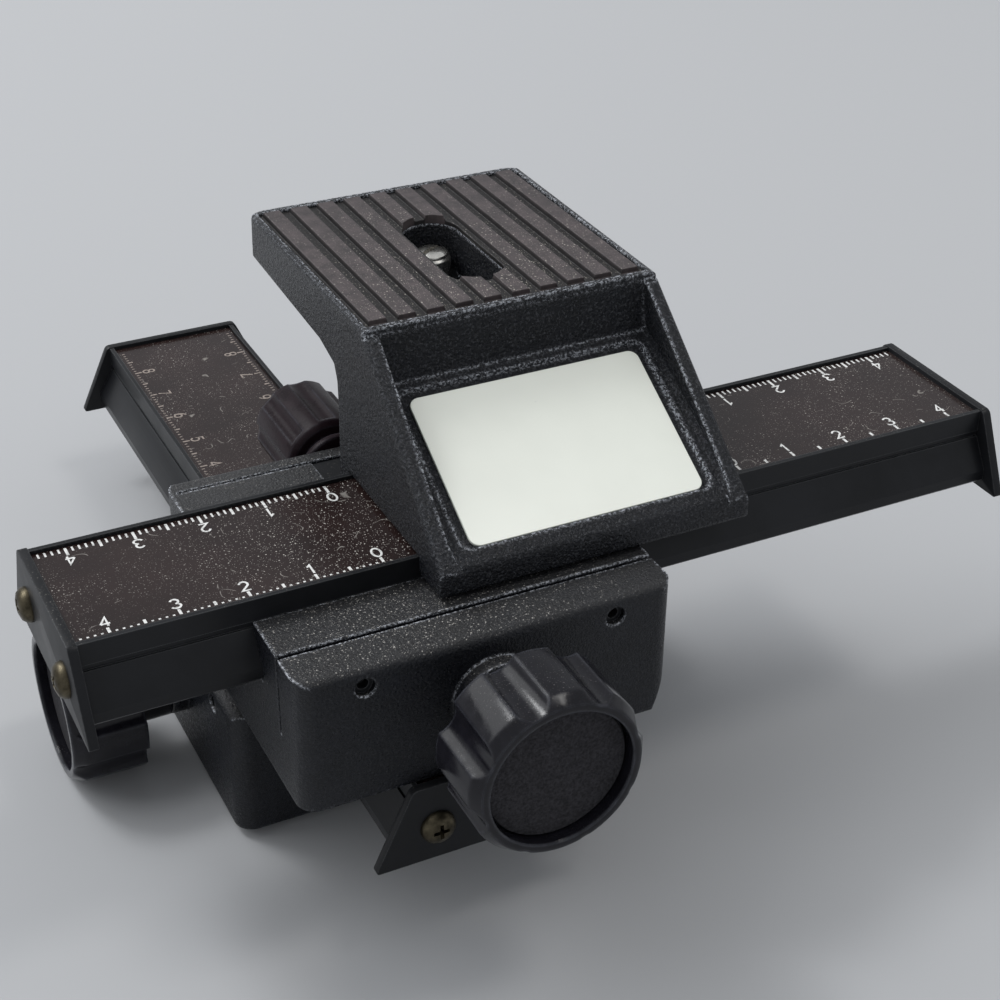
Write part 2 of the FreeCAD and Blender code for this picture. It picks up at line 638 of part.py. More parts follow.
def make_lock_knob():
    """Fluted thumb knob on the lock screw."""
    centre = V(0, LOCK_BACK, LOCK_W)
    body = rod(LOCK_R, LOCK_BACK, LOCK_END, 0.0, LOCK_W)
    body = body.makeChamfer(LOCK_CHAMFER, [e for e in body.Edges if e.Closed])
    flute = rod(LOCK_FLUTE_R, LOCK_BACK + LOCK_COLLAR, LOCK_END + OVERRUN, LOCK_FLUTE_CENTRE, LOCK_W)
    body = cut_all(body, ring_of(flute, LOCK_FLUTES, 0.0, centre, V(0, 1, 0)))
    neck = rod(LOCK_NECK_R, LOCK_NECK_BACK, LOCK_BACK + LOCK_COLLAR, 0.0, LOCK_W)
    hole = rod(LOCK_SCREW_R + HOLE_CLEARANCE, LOCK_NECK_BACK - OVERRUN, LOCK_SCREW_END, 0.0, LOCK_W)
    return cut_all(fuse_all([body, neck]), [hole])


# ================================================================ drive
def make_pinion():
    """Involute pinion with a gap facing the rack tooth above it."""
    pitch_r = MODULE * PINION_TEETH / 2
    base_r = pitch_r * math.cos(PRESSURE_ANGLE)
    tip_r, root_r = pitch_r + PINION_ADDENDUM, pitch_r - PINION_DEDENDUM
    inv_pitch = math.tan(PRESSURE_ANGLE) - PRESSURE_ANGLE
    half_angle = math.pi / (2 * PINION_TEETH) - TOOTH_BACKLASH / pitch_r
    flank = [(root_r, half_angle + inv_pitch)]
    for i in range(FLANK_STEPS + 1):
        r = base_r + (tip_r - base_r) * i / FLANK_STEPS
        angle = math.acos(base_r / r)
        flank.append((r, half_angle + inv_pitch - (math.tan(angle) - angle)))
    outline = []
    for k in range(PINION_TEETH):
        middle = math.pi / 2 + (k + 0.5) * 2 * math.pi / PINION_TEETH
        for r, a in flank:
            outline.append((r * math.cos(middle - a), r * math.sin(middle - a)))
        for r, a in reversed(flank):
            outline.append((r * math.cos(middle + a), r * math.sin(middle + a)))
    pinion = prism([(u, -PINION_HALF, SHAFT_W + w) for u, w in outline], (0, 2 * PINION_HALF, 0))
    return pinion.cut(rod(SHAFT_R + HOLE_CLEARANCE, -PINION_HALF - OVERRUN, PINION_HALF + OVERRUN))


def make_drive_shaft():
    return rod(SHAFT_R, -KNOB_SHAFT_END, SHAFT_INNER_END)


def make_drive_knob():
    """Moulded knob with eight flutes that run out through the front chamfer."""
    body = rod(KNOB_R, -KNOB_FRONT + KNOB_CHAMFER_L, -KNOB_BACK)
    nose = Part.makeCone(KNOB_R - KNOB_CHAMFER_R, KNOB_R, KNOB_CHAMFER_L,
                         V(0, -KNOB_FRONT, SHAFT_W), V(0, 1, 0))
    hub = rod(KNOB_HUB_R, -KNOB_BACK - KNOB_BACK_RECESS, -KNOB_HUB_BACK)
    flute = rod(KNOB_FLUTE_R, -KNOB_FRONT - OVERRUN, -KNOB_BACK + OVERRUN, KNOB_FLUTE_CENTRE)
    centre = V(0, 0, SHAFT_W)
    tools = ring_of(flute, KNOB_FLUTES, KNOB_FLUTE_START, centre, V(0, -1, 0))
    tools.append(rod(KNOB_RECESS_R, -KNOB_FRONT - OVERRUN, -KNOB_FRONT + KNOB_RECESS_DEPTH))
    tools.append(rod(SHAFT_R + HOLE_CLEARANCE, -KNOB_SHAFT_END, 0.0))
    rear = rod(KNOB_BACK_RECESS_R, -KNOB_BACK - KNOB_BACK_RECESS, -KNOB_BACK + OVERRUN)
    rear = rear.cut(rod(KNOB_HUB_R, -KNOB_FRONT, -KNOB_HUB_BACK))
    tools.append(rear)
    return cut_all(fuse_all([body, nose, hub]), tools)


def make_knob_disc():
    """Insert that covers the knob's screw."""
    floor = -KNOB_FRONT + KNOB_RECESS_DEPTH
    return rod(DISC_R, floor - DISC_THICK, floor)


# ================================================================ platform
def platform_outline():
    """Side view of the platform: front leg, top plate and the curve behind the leg."""
    edge_z = PLATFORM_TOP_Z - PLATE_EDGE
    return [
        (SLOPE_FOOT_Y, LEG_LOW),
        (SLOPE_FOOT_Y, SLOPE_FOOT_Z),
        (PLATFORM_FRONT_Y - PLATE_STEP, edge_z),
        (PLATFORM_FRONT_Y, edge_z),
        (PLATFORM_FRONT_Y, PLATFORM_TOP_Z),
        (PLATFORM_BACK_Y, PLATFORM_TOP_Z),
        (PLATFORM_BACK_Y, PLATFORM_BACK_LOW),
        (PLATFORM_RIM_Y, PLATFORM_RIM_LOW),
        (LEG_REAR_Y + LEG_CURVE_OUT, PLATFORM_RIM_LOW - LEG_CURVE_TOP),
        (LEG_REAR_Y + LEG_CURVE_MID, PLATFORM_RIM_LOW - LEG_CURVE_DROP),
        (LEG_REAR_Y, PLATFORM_RIM_LOW - LEG_CURVE_END),
        (LEG_REAR_Y, LEG_LOW),
    ]


def taper_prism(low_half, low_z, high_half, high_z, y0, y1):
    """Block along Y whose sides lean in towards the top."""
    return prism([(-low_half, y0, low_z), (-high_half, y0, high_z), (high_half, y0, high_z),
                  (low_half, y0, low_z)], (0, y1 - y0, 0))


def panel_rise():
    return (PANEL_HEAD_Z - SLOPE_FOOT_Z) / (PANEL_HEAD_Y - SLOPE_FOOT_Y)


def make_platform():
    """Die-cast platform: leg with a sunk front panel, saddle on the bar, plate behind it."""
    outline = platform_outline()
    body = along_u(outline, -PLATFORM_BASE_HALF, PLATFORM_BASE_HALF)
    rear_corners = [e for e in body.Edges
                    if is_upright(e) and abs(e.Vertexes[0].Point.y - PLATFORM_BACK_Y) < SAME_PLACE]
    body = body.makeFillet(PLATFORM_CORNER, rear_corners)
    body = body.common(taper_prism(PLATFORM_BASE_HALF, PLATFORM_TAPER_LOW, PLATFORM_TOP_HALF,
                                   PLATFORM_TOP_Z, -FAR, FAR))

    inner = PLATFORM_TOP_HALF - PLATFORM_WALL
    rise = panel_rise()
    back_drop = (PLATFORM_WALL + SEAT_DEPTH) * math.hypot(1.0, rise)
    inside_y = SLOPE_FOOT_Y + PLATFORM_WALL
    head_y = PANEL_HEAD_Y + PLATFORM_WALL
    rear_y = PLATFORM_BACK_Y - PLATFORM_WALL
    hollow = along_u([
        (inside_y, LEG_LOW - OVERRUN),
        (inside_y, SLOPE_FOOT_Z + rise * PLATFORM_WALL - back_drop),
        (head_y, SLOPE_FOOT_Z + rise * (head_y - SLOPE_FOOT_Y) - back_drop),
        (head_y, PLATFORM_SKIN_UNDER),
        (rear_y, PLATFORM_SKIN_UNDER),
        (rear_y, LEG_LOW - OVERRUN)], -inner, inner)
    saddle = box(-FAR, FAR, -SADDLE_HALF, SADDLE_HALF, LEG_LOW - OVERRUN, SADDLE_TOP)
    body = cut_all(body, [hollow, saddle])

    boss_half = SLOT_HALF + SLOT_BOSS_WALL
    boss = box(-boss_half, boss_half, SLOT_FRONT_Y - SLOT_BOSS_WALL, SLOT_BACK_Y + SLOT_BOSS_WALL,
               SLOT_FLOOR_TOP - SLOT_FLOOR_THICK, PLATFORM_SKIN_UNDER)
    parts = [body, round_edges(boss, SLOT_HALF, is_upright)] + saddle_flange(inner) + gussets()
    body = fuse_all(parts)
    tools = [
        front_recess(),
        panel_piece(BADGE_LOW - BADGE_GAP, BADGE_HIGH + BADGE_GROOVE, BADGE_HALF + BADGE_GROOVE,
                    -SEAT_DEPTH, OVERRUN, BADGE_CORNER + BADGE_GAP),
        pad_pocket(),
        slot_cutter(SLOT_HALF, SLOT_FLOOR_TOP, PLATFORM_TOP_Z + OVERRUN, 0.0),
        slot_cutter(SLOT_NECK_HALF, SLOT_FLOOR_TOP - SLOT_FLOOR_THICK - OVERRUN,
                    SLOT_FLOOR_TOP + OVERRUN, SLOT_NECK_SETBACK),
    ]
    for u, v in platform_screw_spots():
        tools.append(post(PLATFORM_SCREW_R + HOLE_CLEARANCE, -OVERRUN,
                          PLATFORM_SCREW_TIP + SCREW_TIP_ROOM, u, v))
    return cut_all(body, tools)


def saddle_flange(inner):
    """Floor of the leg that the bar's screws pull down, and its slope into the front wall."""
    half = inner + FLANGE_BITE
    flange = box(-half, half, -FLANGE_HALF, FLANGE_HALF, 0.0, FLANGE_THICK)
    front = SLOPE_FOOT_Y + PLATFORM_WALL / 2
    web = along_u([(front, SADDLE_TOP), (front, SLOPE_FOOT_Z), (-FLANGE_HALF, FLANGE_THICK),
                   (-FLANGE_HALF, SADDLE_TOP)], -half, half)
    return [flange, web]


def gussets():
    """Triangular webs from the leg to the underside of the plate."""
    webs = []
    for side in (-1, 1):
        outer = side * WEB_OUTER
        inward = outer - side * WEB_THICK
        webs.append(along_u([
            (WEB_FRONT_Y, 0.0),
            (WEB_FRONT_Y, PLATFORM_SKIN_UNDER),
            (WEB_BACK_Y, PLATFORM_SKIN_UNDER),
            (WEB_BACK_Y, PLATFORM_RIM_LOW),
            (LEG_REAR_Y, WEB_LOW),
            (FLANGE_HALF, FLANGE_THICK),
            (FLANGE_HALF, 0.0)], min(outer, inward), max(outer, inward)))
    return webs


def front_recess():
    """Space between the cheeks, down to the panel and back to the wall under the plate."""
    rise = panel_rise()
    profile = [
        (SLOPE_FOOT_Y - OVERRUN, SLOPE_FOOT_Z - rise * OVERRUN),
        (PANEL_HEAD_Y, PANEL_HEAD_Z),
        (PLATFORM_FRONT_Y, PLATFORM_TOP_Z),
        (PLATFORM_FRONT_Y, PLATFORM_TOP_Z + OVERRUN),
        (SLOPE_FOOT_Y - OVERRUN, PLATFORM_TOP_Z + OVERRUN),
    ]
    lean = (CHEEK_INNER_LOW - CHEEK_INNER_HIGH) / (PLATFORM_TOP_Z - SLOPE_FOOT_Z)
    low, high = SLOPE_FOOT_Z - OVERRUN, PLATFORM_TOP_Z + OVERRUN
    plan = taper_prism(CHEEK_INNER_LOW + lean * OVERRUN, low,
                       CHEEK_INNER_HIGH - lean * OVERRUN, high, -FAR, FAR)
    space = along_u(profile, -FAR, FAR).common(plan)

    def at_cheek_foot(edge):
        middle = edge.valueAt((edge.FirstParameter + edge.LastParameter) / 2)
        on_panel = abs(middle.z - SLOPE_FOOT_Z - rise * (middle.y - SLOPE_FOOT_Y)) < SAME_PLACE
        return on_panel and abs(middle.x) > SAME_PLACE

    return round_edges(space, RECESS_CORNER, at_cheek_foot)


def pad_pocket_ends():
    return PLATFORM_FRONT_Y + PLATE_RIM_END, PLATFORM_BACK_Y - PLATE_RIM_END


def pad_pocket():
    half = PLATFORM_TOP_HALF - PLATE_RIM_SIDE
    front, back = pad_pocket_ends()
    return box(-half, half, front, back, PLATFORM_TOP_Z - PAD_POCKET_DEPTH, PLATFORM_TOP_Z + OVERRUN)


def slot_cutter(half, z0, z1, setback):
    """Slot with round ends along Y."""
    y0 = SLOT_FRONT_Y + setback + half
    y1 = SLOT_BACK_Y - setback - half
    ends = [post(half, z0, z1, 0.0, y) for y in (y0, y1)]
    return fuse_all([box(-half, half, y0, y1, z0, z1)] + ends)


def panel_piece(low, high, half, depth0, depth1, corner):
    """Plate with round corners on the sunk panel, between two heights above its face."""
    rise = panel_rise()
    up = V(0, 1.0, rise).normalize()
    out = V(0, -rise, 1.0).normalize()
    foot = V(0, SLOPE_FOOT_Y, SLOPE_FOOT_Z) + out * depth0
    points = [foot + V(x, 0, 0) + up * along
              for x, along in ((-half, low), (half, low), (half, high), (-half, high))]
    piece = Part.Face(Part.makePolygon(points + [points[0]])).extrude(out * (depth1 - depth0))

    def at_corner(edge):
        run = edge.Vertexes[-1].Point - edge.Vertexes[0].Point
        return run.cross(out).Length < 1e-6

    return round_edges(piece, corner, at_corner)


def make_badge_plate():
    """Blank plate in its seat on the sunk panel."""
    return panel_piece(BADGE_LOW, BADGE_HIGH, BADGE_HALF, -SEAT_DEPTH, BADGE_THICK - SEAT_DEPTH, BADGE_CORNER)


def make_pad():
    """Ribbed rubber pad with an opening for the camera screw."""
    floor = PLATFORM_TOP_Z - PAD_POCKET_DEPTH
    top = floor + PAD_BASE
    half = PLATFORM_TOP_HALF - PLATE_RIM_SIDE - PAD_GAP
    front, back = pad_pocket_ends()
    shapes = [box(-half, half, front + PAD_GAP, back - PAD_GAP, floor, top)]
    first = -half + RIB_SIDE_MARGIN + RIB_HALF_LOW
    pitch = -2 * first / (RIB_COUNT - 1)
    y0, y1 = front + RIB_FRONT_SETBACK, back - RIB_BACK_SETBACK
    root = floor + PAD_BASE / 2
    for i in range(RIB_COUNT):
        x = first + i * pitch
        shapes.append(prism([(x - RIB_HALF_LOW, y0, root), (x - RIB_HALF_LOW, y0, top),
                             (x - RIB_HALF_TOP, y0, PAD_TOP_Z), (x + RIB_HALF_TOP, y0, PAD_TOP_Z),
                             (x + RIB_HALF_LOW, y0, top), (x + RIB_HALF_LOW, y0, root)], (0, y1 - y0, 0)))
    return cut_all(fuse_all(shapes), [slot_cutter(SLOT_HALF, floor - OVERRUN, PAD_TOP_Z + OVERRUN, 0.0)])


def make_platform_screws():
    """Screws up through the bar into the saddle flange."""
    screws = []
    for u, v in platform_screw_spots():
        screws.append(fuse_all([
            post(PLATFORM_SCREW_HEAD_R, -CHANNEL_ROOF - PLATFORM_SCREW_HEAD_H, -CHANNEL_ROOF, u, v),
            post(PLATFORM_SCREW_R, -CHANNEL_ROOF, PLATFORM_SCREW_TIP, u, v)]))
    return Part.makeCompound(screws)


def platform_screw_spots():
    return [(u, v) for u in (-PLATFORM_SCREW_U, PLATFORM_SCREW_U)
            for v in (-PLATFORM_SCREW_V, PLATFORM_SCREW_V)]


# ================================================================ camera screw
def make_slot_bush():
    """Stepped bush that slides in the platform's slot and keeps the screw in it."""
    floor_low = SLOT_FLOOR_TOP - SLOT_FLOOR_THICK
    flange_top = SLOT_FLOOR_TOP + SLOT_BUSH_FLANGE
    flange = post(SLOT_BUSH_FLANGE_R, SLOT_FLOOR_TOP, flange_top, 0.0, CAMERA_SCREW_Y)
    body = post(SLOT_BUSH_BODY_R, floor_low, flange_top, 0.0, CAMERA_SCREW_Y)
    bore = post(CAMERA_NECK_R + SLOT_BUSH_BORE_GAP, floor_low - OVERRUN, flange_top + OVERRUN,
                0.0, CAMERA_SCREW_Y)
    return cut_all(fuse_all([flange, body]), [bore])


def camera_knob_top():
    return SLOT_FLOOR_TOP - SLOT_FLOOR_THICK - CAMERA_WASHER_THICK - CAMERA_SCREW_LIFT


def make_screw_washer():
    """Washer that rides on the knob and bears on the platform when the screw is tight."""
    z = camera_knob_top()
    top = z + CAMERA_WASHER_THICK
    washer = post(CAMERA_WASHER_R, z, top, 0.0, CAMERA_SCREW_Y)
    return washer.cut(post(CAMERA_NECK_R + SLOT_BUSH_BORE_GAP, z - OVERRUN, top + OVERRUN, 0.0, CAMERA_SCREW_Y))


def make_camera_screw():
    thread_low = SLOT_FLOOR_TOP + SLOT_BUSH_FLANGE
    tip = thread_low + CAMERA_THREAD_LENGTH
    low = camera_knob_top() - CAMERA_KNOB_H + CAMERA_KNOB_FLOOR
    thread = post(CAMERA_THREAD_R, thread_low, tip, 0.0, CAMERA_SCREW_Y)
    thread = thread.makeChamfer(CAMERA_TIP_CHAMFER, [e for e in thread.Edges
                                                     if e.Closed and abs(e.Vertexes[0].Point.z - tip) < SAME_PLACE])
    return fuse_all([thread, post(CAMERA_NECK_R, low, thread_low, 0.0, CAMERA_SCREW_Y)])


def make_camera_knob():
    top = camera_knob_top()
    low = top - CAMERA_KNOB_H
    knob = post(CAMERA_KNOB_R, low, top, 0.0, CAMERA_SCREW_Y)
    knob = knob.makeChamfer(CAMERA_KNOB_CHAMFER, [e for e in knob.Edges if e.Closed])
    flute = post(CAMERA_KNOB_FLUTE_R, low - OVERRUN, top + OVERRUN, CAMERA_KNOB_FLUTE_CENTRE, CAMERA_SCREW_Y)
    tools = ring_of(flute, CAMERA_KNOB_FLUTES, 0.0, V(0, CAMERA_SCREW_Y, 0), V(0, 0, 1))
    tools.append(post(CAMERA_NECK_R + HOLE_CLEARANCE, low + CAMERA_KNOB_FLOOR, top + OVERRUN,
                      0.0, CAMERA_SCREW_Y))
    return cut_all(knob, tools)


# ================================================================ placing and saving
def place_upper(shape):
    """Upper unit: u along +X."""
    placed = shape.copy()
    placed.translate(V(0, UPPER_AXIS_Y, UPPER_LEVEL))
    return placed


def place_lower(shape):
    """Lower unit: u along -Y, v along +X."""
    placed = shape.copy()
    placed.rotate(V(0, 0, 0), V(0, 0, 1), -90.0)
    placed.translate(V(0, 0, LOWER_LEVEL))
    return placed


def place_platform(shape):
    """Platform pieces stand on the middle of the upper bar."""
    placed = shape.copy()
    placed.translate(V(UPPER_BAR_SHIFT, UPPER_AXIS_Y, UPPER_LEVEL))
    return placed


def carriage_screw_holes():
    """Tapped holes for the carriage screws, in the part frame."""
    low = LOWER_LEVEL - CARRIAGE_SCREW_GRIP - SCREW_TIP_ROOM
    return [post(CARRIAGE_SCREW_R + HOLE_CLEARANCE, low, LOWER_LEVEL + OVERRUN, u, UPPER_AXIS_Y + v)
            for u, v in carriage_screw_spots()]


def platform_screw_holes():
    """Holes for the platform screws through the upper bar and its scale, in the part frame."""
    return [post(PLATFORM_SCREW_R + HOLE_CLEARANCE, UPPER_LEVEL - CHANNEL_ROOF - OVERRUN,
                 UPPER_LEVEL + OVERRUN, UPPER_BAR_SHIFT + u, UPPER_AXIS_Y + v)
            for u, v in platform_screw_spots()]


def unit_nodes(prefix, place, shift, near_name, far_name):
    """Pieces that both units have; the near end is the one at -u."""
    end = BAR_LENGTH / 2
    return {
        prefix + "_gib_screws": place(make_gib_screws()),
        prefix + "_shaft_bushes": place(make_bushes()),
        prefix + "_drive_shaft": place(make_drive_shaft()),
        prefix + "_pinion": place(make_pinion()),
        prefix + "_drive_knob": place(make_drive_knob()),
        prefix + "_knob_disc": place(make_knob_disc()),
        prefix + "_lock_knob": place(make_lock_knob()),
        prefix + "_lock_screw": place(make_lock_screw()),
        prefix + "_lock_washer": place(make_lock_washer()),
        prefix + "_brake_shoe": place(make_shoe()),
        prefix + "_bar": place(make_bar(shift)),
        prefix + "_scale_plate": place(make_scale_plate(shift)),
        prefix + "_rack": place(make_rack(shift)),
        prefix + "_rack_screws": place(make_rack_screws(shift)),
        prefix + "_end_plate_" + near_name: place(make_end_plate(shift - end, -1)),
        prefix + "_end_plate_" + far_name: place(make_end_plate(shift + end, 1)),
        prefix + "_end_screws_" + near_name: place(make_end_screws(shift - end, -1)),
        prefix + "_end_screws_" + far_name: place(make_end_screws(shift + end, 1)),
    }


def build():
    nodes = {}
    nodes["lower_carriage"] = place_lower(make_lower_carriage())
    nodes["tripod_bush"] = place_lower(make_tripod_bush())
    nodes.update(unit_nodes("lower", place_lower, -LOWER_BAR_SHIFT, "rear", "front"))
    nodes["upper_carriage"] = place_upper(make_upper_carriage())
    nodes["carriage_screws"] = place_upper(make_carriage_screws())
    nodes.update(unit_nodes("upper", place_upper, UPPER_BAR_SHIFT, "left", "right"))
    for name in ("lower_bar", "lower_scale_plate"):
        nodes[name] = cut_all(nodes[name], carriage_screw_holes())
    for name in ("upper_bar", "upper_scale_plate"):
        nodes[name] = cut_all(nodes[name], platform_screw_holes())
    nodes["camera_platform"] = place_platform(make_platform())
    nodes["platform_screws"] = place_platform(make_platform_screws())
    nodes["rubber_pad"] = place_platform(make_pad())
    nodes["badge_plate"] = place_platform(make_badge_plate())
    nodes["slot_bush"] = place_platform(make_slot_bush())
    nodes["screw_washer"] = place_platform(make_screw_washer())
    nodes["camera_screw"] = place_platform(make_camera_screw())
    nodes["camera_screw_knob"] = place_platform(make_camera_knob())
    return nodes


def main():
    os.makedirs("parts", exist_ok=True)
    for name, shape in build().items():
        if not shape.isValid():
            raise ValueError("not a valid solid: " + name)
        shape.exportStep("parts/" + name + ".step")


main()
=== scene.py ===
import json
import math

import bmesh
import bpy
from mathutils import Matrix, Vector

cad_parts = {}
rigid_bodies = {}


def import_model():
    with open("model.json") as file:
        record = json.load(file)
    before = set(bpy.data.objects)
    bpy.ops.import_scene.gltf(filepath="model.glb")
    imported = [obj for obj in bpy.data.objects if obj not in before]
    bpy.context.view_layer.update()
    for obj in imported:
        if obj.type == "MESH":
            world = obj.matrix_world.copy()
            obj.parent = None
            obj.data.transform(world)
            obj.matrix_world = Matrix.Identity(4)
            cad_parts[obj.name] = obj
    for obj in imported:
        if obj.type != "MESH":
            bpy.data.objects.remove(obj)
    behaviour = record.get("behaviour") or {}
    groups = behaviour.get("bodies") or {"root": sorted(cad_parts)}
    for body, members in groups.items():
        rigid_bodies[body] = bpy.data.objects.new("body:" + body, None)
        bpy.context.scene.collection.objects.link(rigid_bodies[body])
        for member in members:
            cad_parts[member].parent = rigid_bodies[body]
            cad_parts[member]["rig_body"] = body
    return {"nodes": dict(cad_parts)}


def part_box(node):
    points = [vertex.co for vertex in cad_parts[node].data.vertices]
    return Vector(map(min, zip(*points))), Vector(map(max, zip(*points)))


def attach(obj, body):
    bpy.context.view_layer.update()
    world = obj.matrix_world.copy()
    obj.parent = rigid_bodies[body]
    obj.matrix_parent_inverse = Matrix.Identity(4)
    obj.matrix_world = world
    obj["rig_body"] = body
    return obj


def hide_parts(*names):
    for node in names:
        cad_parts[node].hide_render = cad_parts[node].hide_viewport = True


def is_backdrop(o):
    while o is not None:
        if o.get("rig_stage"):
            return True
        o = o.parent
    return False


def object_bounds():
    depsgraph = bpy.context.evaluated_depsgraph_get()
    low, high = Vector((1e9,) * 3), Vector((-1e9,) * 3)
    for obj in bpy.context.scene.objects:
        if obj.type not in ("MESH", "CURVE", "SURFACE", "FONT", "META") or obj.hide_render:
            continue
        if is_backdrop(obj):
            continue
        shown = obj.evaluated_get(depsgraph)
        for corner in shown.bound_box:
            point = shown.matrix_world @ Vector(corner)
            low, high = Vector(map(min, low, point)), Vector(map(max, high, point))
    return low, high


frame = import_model()

bl_info = {
    "name": "Two-Axis Focusing Rail",
    "version": (1, 0, 0),
    "blender": (4, 5, 0),
    "location": "View3D > Sidebar > Focusing Rail",
    "description": "Dresses the packed two-axis focusing rail: castings, bars, scales, knobs and platform",
    "category": "Object",
}

MM = 0.001
NODES = frame["nodes"]

# Lengths in millimetres unless a comment says otherwise.
RIB_COUNT = 10
RIB_MARGIN = 2.15        # from the pad's side to the middle of its first rib
RIB_HALF = 1.3           # half width of a rib's top
RIB_CORE = 1.05          # points of a rib's top that lie further out than this are its corners
PLATE_TOP_HALF = 13.5    # half width of an end plate along its top
PLATE_LOW_HALF = 19.6    # and between the points of its lower corners
UPPER_ZERO = 30.0        # from the middle of the upper bar to its zero marks
UPPER_MARKS = 45         # marks on each half of the upper bar
LOWER_MARKS = 90         # marks along the lower bar
SCREW_RISE = 1.7         # height of an end plate screw's head
SCREW_SHANK = (1.5, 7.0)           # its shank's radius and length
RECESS = (1.35, 0.62, 1.1)         # reach, width and depth of its cross recess
TIP_RADIUS = 2.85                  # domed tip of the camera screw
TIP_RISE = 0.8
TIP_SHANK = (1.5, 0.4)
TIP_SLOT = (7.0, 0.9, 1.4)         # cutter of its slot
TIP_TURN = 0.5                     # radians
SIDE_BAND = 1.1                    # how near the platform's sides an outer edge lies
END_BAND = 0.1                     # and how near its front and back
LONG_EDGE = 6.0                    # shortest outer edge that gets the large rounding

# Half outline of a screw head, as shares of its radius and height, and the taper of its recess.
HEAD_OUTLINE = ((0.0, 1.0), (0.45, 0.97), (0.78, 0.78), (0.95, 0.45), (1.0, 0.12), (1.0, 0.0))
RECESS_TAPER = (0.45, 0.6)
HEAD_STEPS = 32

# Figures, as shares of their height.
FIGURE_WIDTH = 0.6
STROKE_HALF = 0.075
MITRE_LIMIT = 0.45       # keeps sharp corners of a stroke from running out

# Clean-up of a copied mesh: points this near (in metres) are one, and edges that turn by less than
# this many degrees are dissolved.
MERGE = 1e-6
FLAT_TURN = 0.4

# Rows of the scales: where the ticks start, the gap under a figure, and the run and width of the
# long, half and fine ticks.
UPPER_NEAR_ROW = {"start": 0.95, "gap": 0.35,
                  "long": (1.25, 0.42), "half": (0.95, 0.42), "fine": (0.32, 0.34)}
UPPER_FAR_ROW = {"start": 0.35, "gap": 0.3,
                 "long": (2.0, 0.42), "half": (1.7, 0.42), "fine": (1.1, 0.3)}
LOWER_ROW = {"start": 0.9, "gap": 0.35,
             "long": (1.3, 0.4), "half": (1.0, 0.4), "fine": (0.5, 0.26)}

# Where dust lies thickest, in metres.
PAD_HEART = (0.021, -0.012, 0.0796)
CASTING_HEART = (-0.006, -0.040, 0.053)
SCALE_HEART = (-0.008, -0.030, 0.0526)

# Tones of wear, dust and painted glints.
# Painted glints: the pale bluish specks painted on the hammer paint's faces and edges stand in for
# highlights.
PAINTED_GLINT = (0.78, 0.81, 0.88)
WORN_BLACK = (0.13, 0.135, 0.14)
WORN_MOULDING = (0.10, 0.105, 0.125)
WORN_RUBBER = (0.34, 0.31, 0.30)
PAINT_DUST = (0.42, 0.40, 0.37)
BLACK_DUST = (0.38, 0.36, 0.33)
SCALE_DUST = (0.50, 0.47, 0.43)
MOULDING_DUST = (0.36, 0.34, 0.32)
RUBBER_DUST = (0.52, 0.48, 0.42)
ENAMEL_SPECKS = (0.10, 0.09, 0.08)

# Stage, in metres and watts. A lamp is its place, size, power and tint.
FLOOR_HALF = 3.0
LAMP_TARGET = (0.0, 0.0, 0.03)
WORLD_COLOUR = (0.93, 0.96, 1.0, 1.0)
WORLD_STRENGTH = 0.54
LAMPS = {
    "window": ((-1.25, 1.10, 1.90), (2.6, 2.0), 34.0, (0.97, 0.985, 1.0)),
    "pane": ((-0.70, 0.95, 1.50), (0.45, 0.3), 9.0, (0.97, 0.985, 1.0)),
    "room": ((0.75, -0.40, 1.95), (0.5, 0.4), 5.5, (1.0, 0.98, 0.95)),
}


# ---------------------------------------------------------------- user settings
def length(name, text, value):
    return bpy.props.FloatProperty(name=name, description=text, default=value, min=0.0,
                                   precision=4, unit="LENGTH", subtype="DISTANCE")


def colour(name, text, value):
    return bpy.props.FloatVectorProperty(name=name, description=text, default=value, size=3,
                                         min=0.0, max=1.0, subtype="COLOR")


def factor(name, text, value):
    return bpy.props.FloatProperty(name=name, description=text, default=value, min=0.0, max=1.0,
                                   subtype="FACTOR")


class RailEdges(bpy.types.PropertyGroup):
    casting: length("Casting edge", "Rounding on the edges of the castings", 0.45 * MM)
    platform: length("Platform edge", "Rounding on the long outer edges of the platform", 0.75 * MM)
    bar: length("Bar edge", "Rounding on the edges of the bars", 0.12 * MM)
    plate: length("Plate edge", "Rounding on the edges of the end plates", 0.15 * MM)
    corner: length("Plate corner", "Rounding on the corners of the end plates", 0.7 * MM)
    knob: length("Knob edge", "Rounding on the edges of the knobs", 0.6 * MM)
    pad: length("Pad edge", "Rounding on the ribs of the rubber pad", 0.12 * MM)
    rib: length("Rib growth", "How far each side of a rib's top is drawn outwards", 0.25 * MM)


class RailScales(bpy.types.PropertyGroup):
    figure: length("Figure height", "Height of the scale figures", 2.2 * MM)
    ink: length("Ink", "Thickness of the printed ink", 0.02 * MM)


